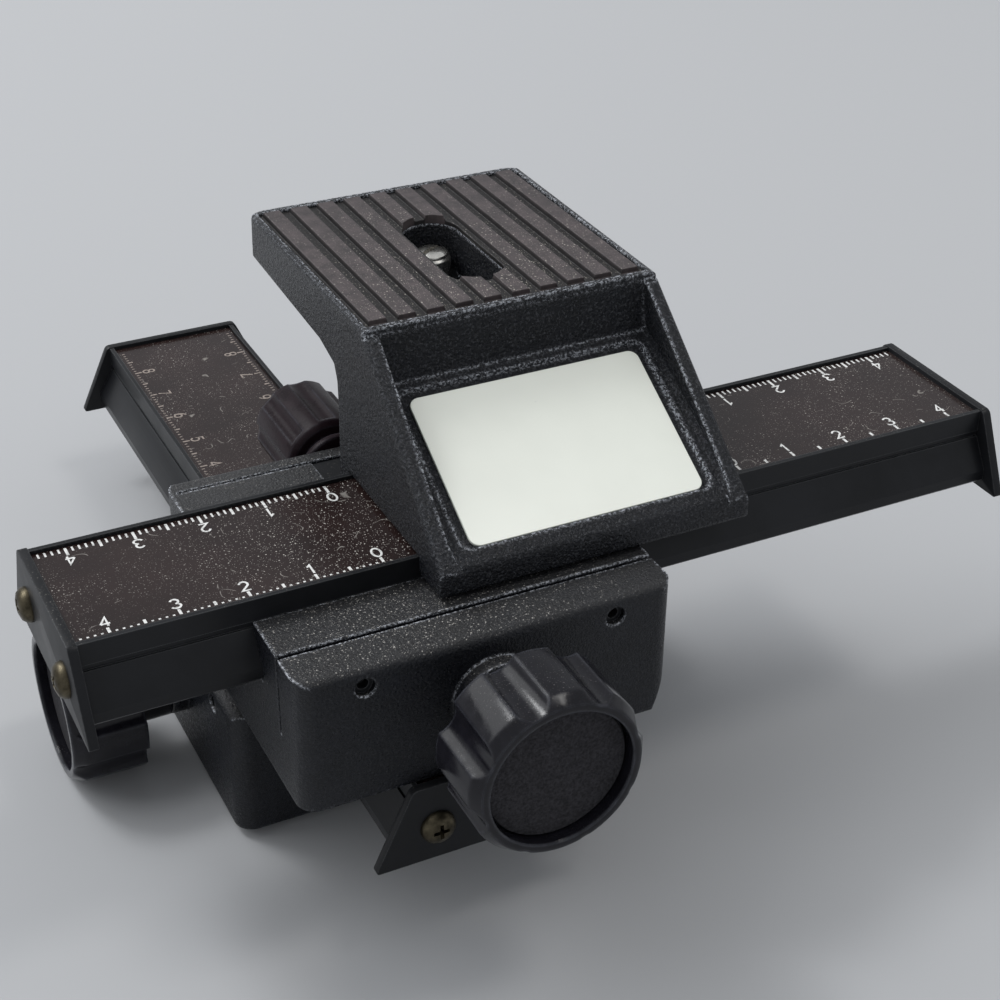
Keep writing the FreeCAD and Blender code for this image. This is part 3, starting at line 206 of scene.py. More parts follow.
class RailFinishes(bpy.types.PropertyGroup):
    hammer: colour("Hammer paint", "Hammer paint on the platform and castings", (0.0050, 0.0058, 0.0085))
    satin: colour("Satin black", "Machined and anodised black", (0.0085, 0.009, 0.0105))
    scale: colour("Scale lacquer", "Brown-black lacquer of the scales", (0.021, 0.012, 0.011))
    ink: colour("Ink", "Ink of the scales", (0.78, 0.78, 0.76))
    faded: colour("Faded ink", "Ink of the lower scale", (0.30, 0.25, 0.22))
    badge: colour("Badge", "Blank plate on the platform", (0.80, 0.82, 0.74))
    rubber: colour("Rubber", "Ribbed pad", (0.052, 0.041, 0.042))
    knob: colour("Knob", "Moulded knobs", (0.0065, 0.0062, 0.0085))
    lock: colour("Lock knob", "Moulded lock knobs", (0.0120, 0.0068, 0.0088))
    felt: colour("Disc", "Insert in the drive knobs", (0.024, 0.023, 0.026))
    bronze: colour("Screws", "Browned screws of the end plates", (0.115, 0.098, 0.066))
    steel: colour("Steel", "Shafts, racks and screws", (0.42, 0.42, 0.43))
    bright: colour("Bright steel", "Camera screw and washers", (0.80, 0.78, 0.73))
    brass: colour("Brass", "Bushes", (0.58, 0.44, 0.22))
    dust: factor("Dust", "How much dust lies on the upper faces", 0.5)


class RailStage(bpy.types.PropertyGroup):
    floor: colour("Floor", "Floor and backdrop", (0.46, 0.465, 0.475))
    lens: bpy.props.FloatProperty(name="Lens", description="Focal length of the camera", default=67.63,
                                  min=1.0, unit="CAMERA")
    camera: bpy.props.FloatVectorProperty(name="Camera", description="Place of the camera",
                                          default=(-0.09381, -0.24643, 0.20049), subtype="TRANSLATION",
                                          precision=5, unit="LENGTH")
    aim: bpy.props.FloatVectorProperty(name="Aim", description="Turn of the camera",
                                       default=tuple(math.radians(a) for a in (58.428, -0.501, -26.284)),
                                       subtype="EULER", unit="ROTATION")


# ---------------------------------------------------------------- material kit
def new_material(name):
    material = bpy.data.materials.new(name)
    material.use_nodes = True
    tree = material.node_tree
    return material, tree, tree.nodes["Principled BSDF"]


def object_place(tree, scale=(1.0, 1.0, 1.0)):
    """Object coordinates, stretched by a Mapping node."""
    place = tree.nodes.new("ShaderNodeTexCoord")
    mapping = tree.nodes.new("ShaderNodeMapping")
    mapping.inputs["Scale"].default_value = scale
    tree.links.new(place.outputs["Object"], mapping.inputs["Vector"])
    return mapping.outputs["Vector"]


def noise(tree, vector, scale, detail=2.0, rough=0.5):
    node = tree.nodes.new("ShaderNodeTexNoise")
    node.inputs["Scale"].default_value = scale
    node.inputs["Detail"].default_value = detail
    node.inputs["Roughness"].default_value = rough
    tree.links.new(vector, node.inputs["Vector"])
    return node.outputs["Fac"]


def cells(tree, vector, scale, feature="F1"):
    node = tree.nodes.new("ShaderNodeTexVoronoi")
    node.feature = feature
    node.inputs["Scale"].default_value = scale
    tree.links.new(vector, node.inputs["Vector"])
    return node.outputs["Distance"]


def shaded(rgb, share):
    return tuple(channel * share for channel in rgb)


def ramp(tree, value, stops):
    node = tree.nodes.new("ShaderNodeValToRGB")
    elements = node.color_ramp.elements
    while len(elements) < len(stops):
        elements.new(0.5)
    for element, (position, rgb) in zip(elements, stops):
        element.position = position
        element.color = (*rgb, 1.0)
    tree.links.new(value, node.inputs["Fac"])
    return node.outputs["Color"]


def span(tree, value, low, high, out_low, out_high):
    node = tree.nodes.new("ShaderNodeMapRange")
    node.inputs["From Min"].default_value = low
    node.inputs["From Max"].default_value = high
    node.inputs["To Min"].default_value = out_low
    node.inputs["To Max"].default_value = out_high
    tree.links.new(value, node.inputs["Value"])
    return node.outputs["Result"]


def calc(tree, operation, a, b):
    node = tree.nodes.new("ShaderNodeMath")
    node.operation = operation
    for socket, value in zip(node.inputs, (a, b)):
        if isinstance(value, (int, float)):
            socket.default_value = value
        else:
            tree.links.new(value, socket)
    return node.outputs["Value"]


def blend_colours(tree, share, first, second):
    node = tree.nodes.new("ShaderNodeMix")
    node.data_type = "RGBA"
    tree.links.new(share, node.inputs["Factor"])
    for key, value in (("A", first), ("B", second)):
        socket = [s for s in node.inputs if s.name == key and s.type == "RGBA"][0]
        if isinstance(value, tuple):
            socket.default_value = (*value, 1.0)
        else:
            tree.links.new(value, socket)
    return [s for s in node.outputs if s.type == "RGBA"][0]


def bump(tree, bsdf, height, depth, after=None):
    """Relief on the shader's normal; after is a normal to start from."""
    node = tree.nodes.new("ShaderNodeBump")
    node.inputs["Strength"].default_value = 1.0
    node.inputs["Distance"].default_value = depth
    tree.links.new(height, node.inputs["Height"])
    if after is not None:
        tree.links.new(after, node.inputs["Normal"])
    tree.links.new(node.outputs["Normal"], bsdf.inputs["Normal"])


def part_of(tree, vector, axis):
    """The X, Y or Z of a vector."""
    split = tree.nodes.new("ShaderNodeSeparateXYZ")
    tree.links.new(vector, split.inputs["Vector"])
    return split.outputs[axis]


def upward_share(tree):
    """1 on faces that look up, 0 on walls."""
    geometry = tree.nodes.new("ShaderNodeNewGeometry")
    return span(tree, part_of(tree, geometry.outputs["Normal"], "Z"), 0.55, 0.95, 0.0, 1.0)


def dust_share(tree, vector, amount, heart=None):
    """Specks of dust on faces that look up, in cloudy patches and thicker round the heart."""
    coarse = span(tree, cells(tree, vector, 1300.0), 0.17, 0.1, 0.0, 1.0)
    fine = span(tree, cells(tree, vector, 2900.0), 0.22, 0.12, 0.0, 0.7)
    flecks = calc(tree, "MAXIMUM", coarse, fine)
    patch = span(tree, noise(tree, vector, 90.0, 3.0), 0.40, 0.66, 0.12, 1.0)
    if heart is not None:
        near = tree.nodes.new("ShaderNodeVectorMath")
        near.operation = "DISTANCE"
        near.inputs[1].default_value = heart
        tree.links.new(vector, near.inputs[0])
        patch = calc(tree, "MAXIMUM", patch, span(tree, near.outputs["Value"], 0.036, 0.008, 0.0, 1.6))
    share = calc(tree, "MULTIPLY", flecks, patch)
    share = calc(tree, "MULTIPLY", share, upward_share(tree))
    return calc(tree, "MULTIPLY", share, amount)


def edge_normal(tree, radius):
    """Normal that is rounded over the edges of a piece."""
    node = tree.nodes.new("ShaderNodeBevel")
    node.samples = 6
    node.inputs["Radius"].default_value = radius
    return node.outputs["Normal"]


def edge_share(tree, rounded, low=0.02, high=0.2):
    """1 on the edges of a piece, where the rounded normal leaves the true one."""
    geometry = tree.nodes.new("ShaderNodeNewGeometry")
    match = tree.nodes.new("ShaderNodeVectorMath")
    match.operation = "DOT_PRODUCT"
    tree.links.new(geometry.outputs["Normal"], match.inputs[0])
    tree.links.new(rounded, match.inputs[1])
    return span(tree, match.outputs["Value"], 1.0 - low, 1.0 - high, 0.0, 1.0)


def hammer_paint(name, rgb, grain, depth, rough, edge, dust, glints):
    """Black hammer paint: a fine pebbled skin with painted glints, sparse bright specks on its faces and
    denser ones along the edges that face up.
    """
    material, tree, bsdf = new_material(name)
    place = object_place(tree)
    rounded = edge_normal(tree, edge)
    pebble = cells(tree, place, grain, "SMOOTH_F1")
    ripple = noise(tree, place, grain * 1.7, 3.0, 0.65)
    height = calc(tree, "ADD", calc(tree, "MULTIPLY", pebble, 0.8), calc(tree, "MULTIPLY", ripple, 1.1))
    bump(tree, bsdf, height, depth, rounded)
    tone = noise(tree, place, 140.0, 4.0, 0.6)
    base = ramp(tree, tone, [(0.3, shaded(rgb, 0.75)), (0.7, shaded(rgb, 1.35))])
    speck = noise(tree, place, grain * 1.1, 2.0, 0.7)
    # Painted glints: sparse bright specks on the faces, as many as glints asks for, and denser ones along
    # the rounded edges, brightest where the edges face up towards the lamps.
    face_glints = calc(tree, "MULTIPLY", span(tree, speck, 0.55, 0.63, 0.0, 1.0), glints)
    bright = span(tree, speck, 0.48, 0.58, 0.05, 1.0)
    wear_and_glints = calc(tree, "MULTIPLY", edge_share(tree, rounded, 0.02, 0.16), bright)
    lit_from_above = span(tree, part_of(tree, rounded, "Z"), 0.0, 0.45, 0.12, 1.0)
    wear_and_glints = calc(tree, "MULTIPLY", wear_and_glints, lit_from_above)
    base = blend_colours(tree, calc(tree, "MAXIMUM", face_glints, wear_and_glints), base, PAINTED_GLINT)
    haze = calc(tree, "MULTIPLY", upward_share(tree), 0.035 * dust)
    share = calc(tree, "MAXIMUM", haze, dust_share(tree, place, dust, CASTING_HEART))
    tree.links.new(blend_colours(tree, share, base, PAINT_DUST), bsdf.inputs["Base Color"])
    tree.links.new(span(tree, noise(tree, place, grain * 0.8, 2.0), 0.3, 0.7, rough - 0.07, rough + 0.1),
                   bsdf.inputs["Roughness"])
    bsdf.inputs["Specular IOR Level"].default_value = 0.32
    return material


def satin_black(name, rgb, rough, dust, lines=None):
    """Anodised or machined black metal; lines is the direction in which it was drawn."""
    material, tree, bsdf = new_material(name)
    place = object_place(tree)
    stretch = {None: (1.0, 1.0, 1.0), "x": (0.03, 1.0, 1.0), "y": (1.0, 0.03, 1.0)}[lines]
    drawn = noise(tree, object_place(tree, stretch), 1500.0, 3.0, 0.6)
    bump(tree, bsdf, drawn, 0.00002 if lines else 0.000012)
    tone = noise(tree, place, 60.0, 5.0, 0.65)
    base = ramp(tree, tone, [(0.35, shaded(rgb, 0.8)), (0.68, shaded(rgb, 1.5))])
    rubbed = span(tree, drawn, 0.35, 0.6, 0.25, 0.8)
    wear_and_glints = calc(tree, "MULTIPLY", edge_share(tree, edge_normal(tree, 0.0003)), rubbed)
    base = blend_colours(tree, wear_and_glints, base, WORN_BLACK)
    share = dust_share(tree, place, dust)
    tree.links.new(blend_colours(tree, share, base, BLACK_DUST), bsdf.inputs["Base Color"])
    tree.links.new(span(tree, tone, 0.3, 0.7, rough - 0.06, rough + 0.08), bsdf.inputs["Roughness"])
    bsdf.inputs["Specular IOR Level"].default_value = 0.22
    return material


def scale_lacquer(name, rgb, dust):
    """Glossy brown-black lacquer with dust and fine curled fibres."""
    material, tree, bsdf = new_material(name)
    place = object_place(tree)
    tone = noise(tree, place, 45.0, 4.0, 0.6)
    base = ramp(tree, tone, [(0.35, shaded(rgb, 0.7)), (0.7, shaded(rgb, 1.3))])
    flecks = dust_share(tree, place, dust, SCALE_HEART)
    arcs = calc(tree, "ABSOLUTE", calc(tree, "SUBTRACT", noise(tree, place, 150.0, 1.0), 0.5), 0.0)
    fibre = calc(tree, "MULTIPLY", span(tree, arcs, 0.006, 0.002, 0.0, 0.4),
                 span(tree, noise(tree, place, 330.0, 1.0), 0.60, 0.64, 0.0, 1.0))
    share = calc(tree, "MAXIMUM", flecks, fibre)
    tree.links.new(blend_colours(tree, share, base, SCALE_DUST), bsdf.inputs["Base Color"])
    tree.links.new(span(tree, share, 0.0, 0.5, 0.22, 0.7), bsdf.inputs["Roughness"])
    bsdf.inputs["Specular IOR Level"].default_value = 0.32
    return material


def gloss_moulding(name, rgb, rough, dust, shine):
    """Moulded gloss plastic with light rub marks."""
    material, tree, bsdf = new_material(name)
    place = object_place(tree)
    rub = noise(tree, place, 420.0, 4.0, 0.65)
    share = dust_share(tree, place, dust)
    rounded = edge_normal(tree, 0.0009)
    base = ramp(tree, rub, [(0.35, rgb), (0.75, shaded(rgb, 1.7))])
    wear_and_glints = calc(tree, "MULTIPLY", edge_share(tree, rounded), span(tree, rub, 0.35, 0.65, 0.25, 0.8))
    base = blend_colours(tree, wear_and_glints, base, WORN_MOULDING)
    tree.links.new(blend_colours(tree, share, base, MOULDING_DUST), bsdf.inputs["Base Color"])
    tree.links.new(span(tree, rub, 0.35, 0.75, rough, rough + 0.14), bsdf.inputs["Roughness"])
    bump(tree, bsdf, noise(tree, place, 900.0, 3.0), 0.000012, rounded)
    bsdf.inputs["Specular IOR Level"].default_value = shine
    return material


def felt_disc(name, rgb):
    """Short dull fibres."""
    material, tree, bsdf = new_material(name)
    place = object_place(tree)
    fibre = noise(tree, place, 2300.0, 4.0, 0.75)
    tone = ramp(tree, fibre, [(0.35, shaded(rgb, 0.5)), (0.68, shaded(rgb, 1.8))])
    tree.links.new(tone, bsdf.inputs["Base Color"])
    bump(tree, bsdf, fibre, 0.00009)
    bsdf.inputs["Roughness"].default_value = 0.95
    bsdf.inputs["Specular IOR Level"].default_value = 0.25
    return material


def ribbed_rubber(name, rgb, first, pitch, dust):
    """Rubber with pale rubbed rib tops, grooves painted dark as shade, and dust caught along the edges."""
    material, tree, bsdf = new_material(name)
    place = object_place(tree)
    skin = noise(tree, place, 1400.0, 4.0, 0.65)
    tone = noise(tree, place, 420.0, 5.0, 0.7)
    wear_and_glints = ramp(tree, tone, [(0.33, shaded(rgb, 0.6)), (0.66, shaded(rgb, 1.5))])
    turns = calc(tree, "DIVIDE", calc(tree, "SUBTRACT", part_of(tree, place, "X"), first - pitch / 2), pitch)
    off = calc(tree, "ABSOLUTE", calc(tree, "SUBTRACT", calc(tree, "FRACT", turns, 0.0), 0.5), 0.0)
    half = RIB_HALF * MM / pitch
    # Painted shade: the grooves between the ribs get a far darker copy of the rubber, 0.13 of it, as shade
    # in the recesses, while the rib tops keep the rubbed tone.
    top = span(tree, off, half + 0.035, half + 0.005, 0.0, 1.0)
    base = blend_colours(tree, top, shaded(rgb, 0.13), wear_and_glints)
    rounded = edge_normal(tree, 0.00022)
    frayed = calc(tree, "MULTIPLY", edge_share(tree, rounded), span(tree, skin, 0.5, 0.68, 0.05, 0.6))
    base = blend_colours(tree, frayed, base, WORN_RUBBER)
    share = dust_share(tree, place, dust, PAD_HEART)
    tree.links.new(blend_colours(tree, share, base, RUBBER_DUST), bsdf.inputs["Base Color"])
    tree.links.new(span(tree, tone, 0.3, 0.7, 0.45, 0.66), bsdf.inputs["Roughness"])
    bump(tree, bsdf, skin, 0.00006, rounded)
    return material


def badge_enamel(name, rgb):
    """Smooth pale enamel with a few specks."""
    material, tree, bsdf = new_material(name)
    place = object_place(tree)
    tone = noise(tree, place, 60.0, 3.0, 0.5)
    light = tuple(min(channel, 1.0) for channel in shaded(rgb, 1.02))
    base = ramp(tree, tone, [(0.3, shaded(rgb, 0.96)), (0.7, light)])
    specks = span(tree, cells(tree, place, 700.0), 0.055, 0.03, 0.0, 0.6)
    rare = span(tree, noise(tree, place, 260.0, 1.0), 0.60, 0.66, 0.0, 1.0)
    share = calc(tree, "MULTIPLY", specks, rare)
    tree.links.new(blend_colours(tree, share, base, ENAMEL_SPECKS), bsdf.inputs["Base Color"])
    bump(tree, bsdf, noise(tree, place, 260.0, 2.0), 0.00002)
    bsdf.inputs["Roughness"].default_value = 0.28
    return material


def printed_ink(name, rgb):
    """Printed ink, rubbed thin in places."""
    material, tree, bsdf = new_material(name)
    place = object_place(tree)
    wear = noise(tree, place, 1700.0, 3.0, 0.6)
    thin = ramp(tree, wear, [(0.36, shaded(rgb, 0.55)), (0.5, rgb)])
    tree.links.new(thin, bsdf.inputs["Base Color"])
    bsdf.inputs["Roughness"].default_value = 0.6
    return material


def turned_metal(name, rgb, rough, tarnish):
    """Bare metal, darker and duller in patches."""
    material, tree, bsdf = new_material(name)
    place = object_place(tree)
    tone = noise(tree, place, 700.0, 4.0, 0.6)
    low = shaded(rgb, 0.75 - 0.4 * tarnish)
    tree.links.new(ramp(tree, tone, [(0.35, low), (0.66, rgb)]), bsdf.inputs["Base Color"])
    tree.links.new(span(tree, tone, 0.3, 0.7, rough + 0.16, rough), bsdf.inputs["Roughness"])
    bump(tree, bsdf, noise(tree, place, 2200.0, 2.0), 0.00001)
    bsdf.inputs["Metallic"].default_value = 1.0
    return material


def paint(obj, material):
    obj.data.materials.clear()
    obj.data.materials.append(material)


# ---------------------------------------------------------------- mesh kit
def shade(bm, angle=32.0):
    """Smooth faces with sharp edges where the shape turns by more than the angle."""
    limit = math.radians(angle)
    for face in bm.faces:
        face.smooth = True
    for edge in bm.edges:
        edge.smooth = len(edge.link_faces) == 2 and edge.calc_face_angle(0.0) < limit


def finish_piece(bm, name, body, material, angle=32.0):
    """The mesh as a shaded and painted piece that rides on a body."""
    shade(bm, angle)
    mesh = bpy.data.meshes.new(name)
    bm.to_mesh(mesh)
    bm.free()
    obj = bpy.data.objects.new(name, mesh)
    bpy.context.scene.collection.objects.link(obj)
    paint(obj, material)
    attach(obj, body)
    return obj


def body_of_node(node):
    """The body that a CAD node rides on."""
    return NODES[node]["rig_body"]


def soften(node, material, edge, segments=2, angle=30.0, smooth=32.0, reshape=None):
    """A copy of a node with its edges rounded, in place of the node; reshape edits the copy first."""
    bm = bmesh.new()
    bm.from_mesh(NODES[node].data)
    bmesh.ops.remove_doubles(bm, verts=bm.verts, dist=MERGE)
    bmesh.ops.dissolve_limit(bm, angle_limit=math.radians(FLAT_TURN), verts=bm.verts, edges=bm.edges)
    if reshape is not None:
        reshape(bm)
    obj = finish_piece(bm, node + "_finished", body_of_node(node), material, smooth)
    rounding = obj.modifiers.new("Edge", "BEVEL")
    rounding.width = edge
    rounding.segments = segments
    rounding.limit_method = "ANGLE"
    rounding.angle_limit = math.radians(angle)
    rounding.use_clamp_overlap = True
    rounding.harden_normals = True
    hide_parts(node)


# ---------------------------------------------------------------- pieces
FINISHES = {
    "Hammer paint": lambda n, f: hammer_paint(n, tuple(f.hammer), 2300.0, 0.0003, 0.2, 0.0011,
                                              0.4 * f.dust, 0.045),
    "Casting paint": lambda n, f: hammer_paint(n, tuple(f.hammer), 2500.0, 0.00014, 0.3, 0.0008,
                                               2.6 * f.dust, 0.012),
    "Satin black": lambda n, f: satin_black(n, tuple(f.satin), 0.42, 0.7 * f.dust),
    "Bar black along X": lambda n, f: satin_black(n, tuple(f.satin), 0.33, 0.5 * f.dust, "x"),
    "Bar black along Y": lambda n, f: satin_black(n, tuple(f.satin), 0.33, 0.5 * f.dust, "y"),
    "Scale lacquer": lambda n, f: scale_lacquer(n, tuple(f.scale), 1.6 * f.dust),
    "Scale ink": lambda n, f: printed_ink(n, tuple(f.ink)),
    "Faded ink": lambda n, f: printed_ink(n, tuple(f.faded)),
    "Blank enamel": lambda n, f: badge_enamel(n, tuple(f.badge)),
    "Ribbed rubber": lambda n, f: ribbed_rubber(n, tuple(f.rubber), *rib_places(), 1.5 * f.dust),
    "Gloss moulding": lambda n, f: gloss_moulding(n, tuple(f.knob), 0.09, 0.35 * f.dust, 0.27),
    "Lock moulding": lambda n, f: gloss_moulding(n, tuple(f.lock), 0.24, 0.2 * f.dust, 0.1),
    "Felt": lambda n, f: felt_disc(n, tuple(f.felt)),
    "Browned screw": lambda n, f: turned_metal(n, tuple(f.bronze), 0.34, 0.8),
    "Steel": lambda n, f: turned_metal(n, tuple(f.steel), 0.28, 0.3),
    "Bright steel": lambda n, f: turned_metal(n, tuple(f.bright), 0.2, 0.2),
    "Brass": lambda n, f: turned_metal(n, tuple(f.brass), 0.28, 0.3),
}


def finish(name):
    """The material of that name, made when it is first asked for."""
    made = bpy.data.materials.get(name)
    if made is None:
        made = FINISHES[name](name, bpy.context.scene.rail_finishes)
    return made


class RAIL_OT_castings(bpy.types.Operator):
    """Both carriage castings with rounded, painted edges"""
    bl_idname = "rail.castings"
    bl_label = "Carriage castings"

    def execute(self, context):
        edge = context.scene.rail_edges.casting
        for node in ("lower_carriage", "upper_carriage"):
            soften(node, finish("Casting paint"), edge, 3)
        return {"FINISHED"}


def end_plate(node, corner, edge):
    """Thin trapezoid plate with pointed lower corners, in place of a node."""
    low, high = (Vector(point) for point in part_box(node))
    thin = 0 if high.x - low.x < high.y - low.y else 1
    middle = (low + high) / 2
    bm = bmesh.new()
    outline = [(-PLATE_TOP_HALF, high.z), (PLATE_TOP_HALF, high.z),
               (PLATE_LOW_HALF, low.z), (-PLATE_LOW_HALF, low.z)]
    verts = []
    for across, level in outline:
        point = Vector((0.0, 0.0, level))
        point[thin] = low[thin]
        point[1 - thin] = middle[1 - thin] + across * MM
        verts.append(bm.verts.new(point))
    face = bm.faces.new(verts)
    thick = Vector((0, 0, 0))
    thick[thin] = high[thin] - low[thin]
    grown = bmesh.ops.extrude_face_region(bm, geom=[face], use_keep_orig=True)
    moved = [item for item in grown["geom"] if isinstance(item, bmesh.types.BMVert)]
    bmesh.ops.translate(bm, vec=thick, verts=moved)
    bmesh.ops.recalc_face_normals(bm, faces=bm.faces)
    corners = [e for e in bm.edges if abs((e.verts[0].co - e.verts[1].co)[thin]) > edge]
    bmesh.ops.bevel(bm, geom=corners, offset=corner, offset_type="OFFSET", affect="EDGES", segments=4,
                    profile=0.5, material=-1)
    rims = [e for e in bm.edges if e.calc_face_angle(0.0) > math.radians(60.0)]
    bmesh.ops.bevel(bm, geom=rims, offset=edge, offset_type="OFFSET", affect="EDGES", segments=2,
                    profile=0.5, material=-1)
    obj = finish_piece(bm, node + "_finished", body_of_node(node), finish("Satin black"))
    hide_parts(node)


class RAIL_OT_bars(bpy.types.Operator):
    """Both dovetail bars and their end plates"""
    bl_idname = "rail.bars"
    bl_label = "Bars and end plates"

    def execute(self, context):
        edges = context.scene.rail_edges
        soften("lower_bar", finish("Bar black along Y"), edges.bar)
        soften("upper_bar", finish("Bar black along X"), edges.bar)
        for node in ("lower_end_plate_front", "lower_end_plate_rear", "upper_end_plate_left",
                     "upper_end_plate_right"):
            end_plate(node, edges.corner, edges.plate)
        return {"FINISHED"}


def arc(x, y, width, height, start, end, steps=14):
    """Points of an elliptical arc, in parts of a figure's box."""
    turns = [math.radians(start + (end - start) * i / steps) for i in range(steps + 1)]
    return [(x + width * math.cos(t), y + height * math.sin(t)) for t in turns]


FIGURES = {
    "0": [arc(0.5, 0.5, 0.5, 0.5, 0, 360, 20)],
    "1": [[(0.2, 0.78), (0.56, 1.0), (0.56, 0.0)]],
    "2": [arc(0.5, 0.7, 0.46, 0.3, 165, -35) + [(0.04, 0.0), (1.0, 0.0)]],
    "3": [arc(0.48, 0.75, 0.42, 0.25, 160, -85), arc(0.48, 0.26, 0.5, 0.26, 85, -165)],
    "4": [[(0.72, 0.0), (0.72, 1.0), (0.0, 0.28)], [(0.0, 0.28), (1.0, 0.28)]],
    "5": [[(0.92, 1.0), (0.2, 1.0), (0.1, 0.52)] + arc(0.48, 0.33, 0.5, 0.33, 130, -155)],
    "6": [arc(0.5, 0.31, 0.48, 0.31, 0, 360, 20), arc(0.9, 0.31, 0.88, 0.69, 105, 180)],
    "7": [[(0.0, 1.0), (1.0, 1.0), (0.4, 0.0)]],
    "8": [arc(0.5, 0.75, 0.4, 0.25, 0, 360, 18), arc(0.5, 0.26, 0.48, 0.26, 0, 360, 18)],
}


def add_stroke(bm, points, half, level, ink, place):
    """Flat mitred ribbon of ink along a run of points; a run that ends where it starts is closed."""
    points = [Vector((*point, 0.0)) for point in points]
    closed = (points[0] - points[-1]).length < half
    if closed:
        points.pop()
    rings = []
    for i, point in enumerate(points):
        before = points[i - 1] if i or closed else point * 2 - points[1]
        after = points[(i + 1) % len(points)] if i + 1 < len(points) or closed else point * 2 - before
        first, second = (point - before).normalized(), (after - point).normalized()
        side = (first + second).normalized().cross(Vector((0, 0, 1)))
        side *= half / max(MITRE_LIMIT, side.dot(first.cross(Vector((0, 0, 1)))))
        corners = (point + side, point - side)
        rings.append([bm.verts.new(place @ (corner + Vector((0, 0, z))))
                      for z, pair in ((level, corners), (level - ink, corners[::-1])) for corner in pair])
    joins = list(zip(rings, rings[1:])) + ([(rings[-1], rings[0])] if closed else [])
    for a, b in joins:
        for k in range(4):
            bm.faces.new((a[k], a[k - 3], b[k - 3], b[k]))
    if not closed:
        bm.faces.new(rings[0][::-1])
        bm.faces.new(rings[-1])


def add_figure(bm, text, height, ink, place):
    """One printed figure, standing on the row's line and centred on the mark."""
    width = FIGURE_WIDTH * height
    for index, stroke in enumerate(FIGURES[text]):
        points = [((x - 0.5) * width, y * height) for x, y in stroke]
        add_stroke(bm, points, STROKE_HALF * height, ink * (0.5 + 0.1 * index), ink, place)


def mark_at(mm):
    """Kind and figure of the mark at that many millimetres."""
    if mm % 10 == 0:
        return "long", str(mm // 10)
    return ("half" if mm % 5 == 0 else "fine"), None


def print_row(bm, scales, marks, row, place):
    """One row of ticks and figures.

    marks are (distance along the bar, kind, figure). place maps (along, across) to a matrix in the
    part frame, with across = 0 on the plate's edge and growing inwards.
    """
    for along, kind, figure in marks:
        run, width = row[kind]
        size = Matrix.Diagonal((width * MM, run * MM, scales.ink, 1.0))
        bmesh.ops.create_cube(bm, size=1.0, matrix=place(along, row["start"] + run / 2) @ size)
        if figure is not None:
            foot = place(along, row["start"] + run + row["gap"])
            add_figure(bm, figure, scales.figure, scales.ink, foot)


def plate_frame(node, across):
    """Middle of a scale plate, its half width along the axis across its rows, and its top."""
    low, high = (Vector(corner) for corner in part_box(node))
    return (low + high) / 2, (high[across] - low[across]) / 2, high.z


def upper_place(scales, side):
    """Places on the upper scale; side -1 is the near row and 1 the far one."""
    middle, half, top = plate_frame("upper_scale_plate", 1)
    turn = Matrix.Rotation(math.pi if side > 0 else 0.0, 4, "Z")

    def place(along, across):
        point = (middle.x + along * MM, middle.y + side * (half - across * MM), top + scales.ink / 2)
        return Matrix.Translation(point) @ turn
    return place


def lower_place(scales, side):
    """Places on the lower scale; side -1 is the left row and 1 the right one."""
    middle, half, top = plate_frame("lower_scale_plate", 0)
    turn = Matrix.Rotation(side * math.pi / 2, 4, "Z")

    def place(along, across):
        point = (middle.x + side * (half - across * MM), along * MM, top + scales.ink / 2)
        return Matrix.Translation(point) @ turn
    return place


class RAIL_OT_scales(bpy.types.Operator):
    """Scale plates with their printed centimetre rows"""
    bl_idname = "rail.scales"
    bl_label = "Scales"

    def execute(self, context):
        scales = context.scene.rail_scales
        for node in ("lower_scale_plate", "upper_scale_plate"):
            paint(NODES[node], finish("Scale lacquer"))

        marks = [(side * (UPPER_ZERO + mm), *mark_at(mm)) for mm in range(UPPER_MARKS) for side in (-1, 1)]
        near_marks = [mark for mark in marks if mark[0] < 0 or mark[1] != "fine"]
        bm = bmesh.new()
        print_row(bm, scales, near_marks, UPPER_NEAR_ROW, upper_place(scales, -1))
        print_row(bm, scales, marks, UPPER_FAR_ROW, upper_place(scales, 1))
        finish_piece(bm, "upper_scale_print", "upper_slide", finish("Scale ink"))

        marks = [(float(mm), *mark_at(mm)) for mm in range(LOWER_MARKS)]
        bm = bmesh.new()
        for side in (-1, 1):
            print_row(bm, scales, marks, LOWER_ROW, lower_place(scales, side))
        finish_piece(bm, "lower_scale_print", "lower_slide", finish("Faded ink"))
        return {"FINISHED"}


def cross_head_screw(centre, out, head_r, head_h, shank_r, shank):
    """Pan-head screw facing along out, still without its recess; sizes are in millimetres."""
    bm = bmesh.new()
    verts = [bm.verts.new((r * head_r * MM, 0.0, h * head_h * MM)) for r, h in HEAD_OUTLINE]
    verts += [bm.verts.new((shank_r * MM, 0.0, 0.0)), bm.verts.new((shank_r * MM, 0.0, -shank * MM)),
              bm.verts.new((0.0, 0.0, -shank * MM))]
    edges = [bm.edges.new(pair) for pair in zip(verts, verts[1:])]
    bmesh.ops.spin(bm, geom=verts + edges, cent=(0, 0, 0), axis=(0, 0, 1), angle=2 * math.pi,
                   steps=HEAD_STEPS, use_merge=True, use_duplicate=False)
    bmesh.ops.remove_doubles(bm, verts=bm.verts, dist=1e-7)
    bmesh.ops.recalc_face_normals(bm, faces=bm.faces)
    turn = Vector((0, 0, 1)).rotation_difference(Vector(out)).to_matrix().to_4x4()
    bmesh.ops.transform(bm, matrix=Matrix.Translation(centre) @ turn, verts=bm.verts)
    return bm


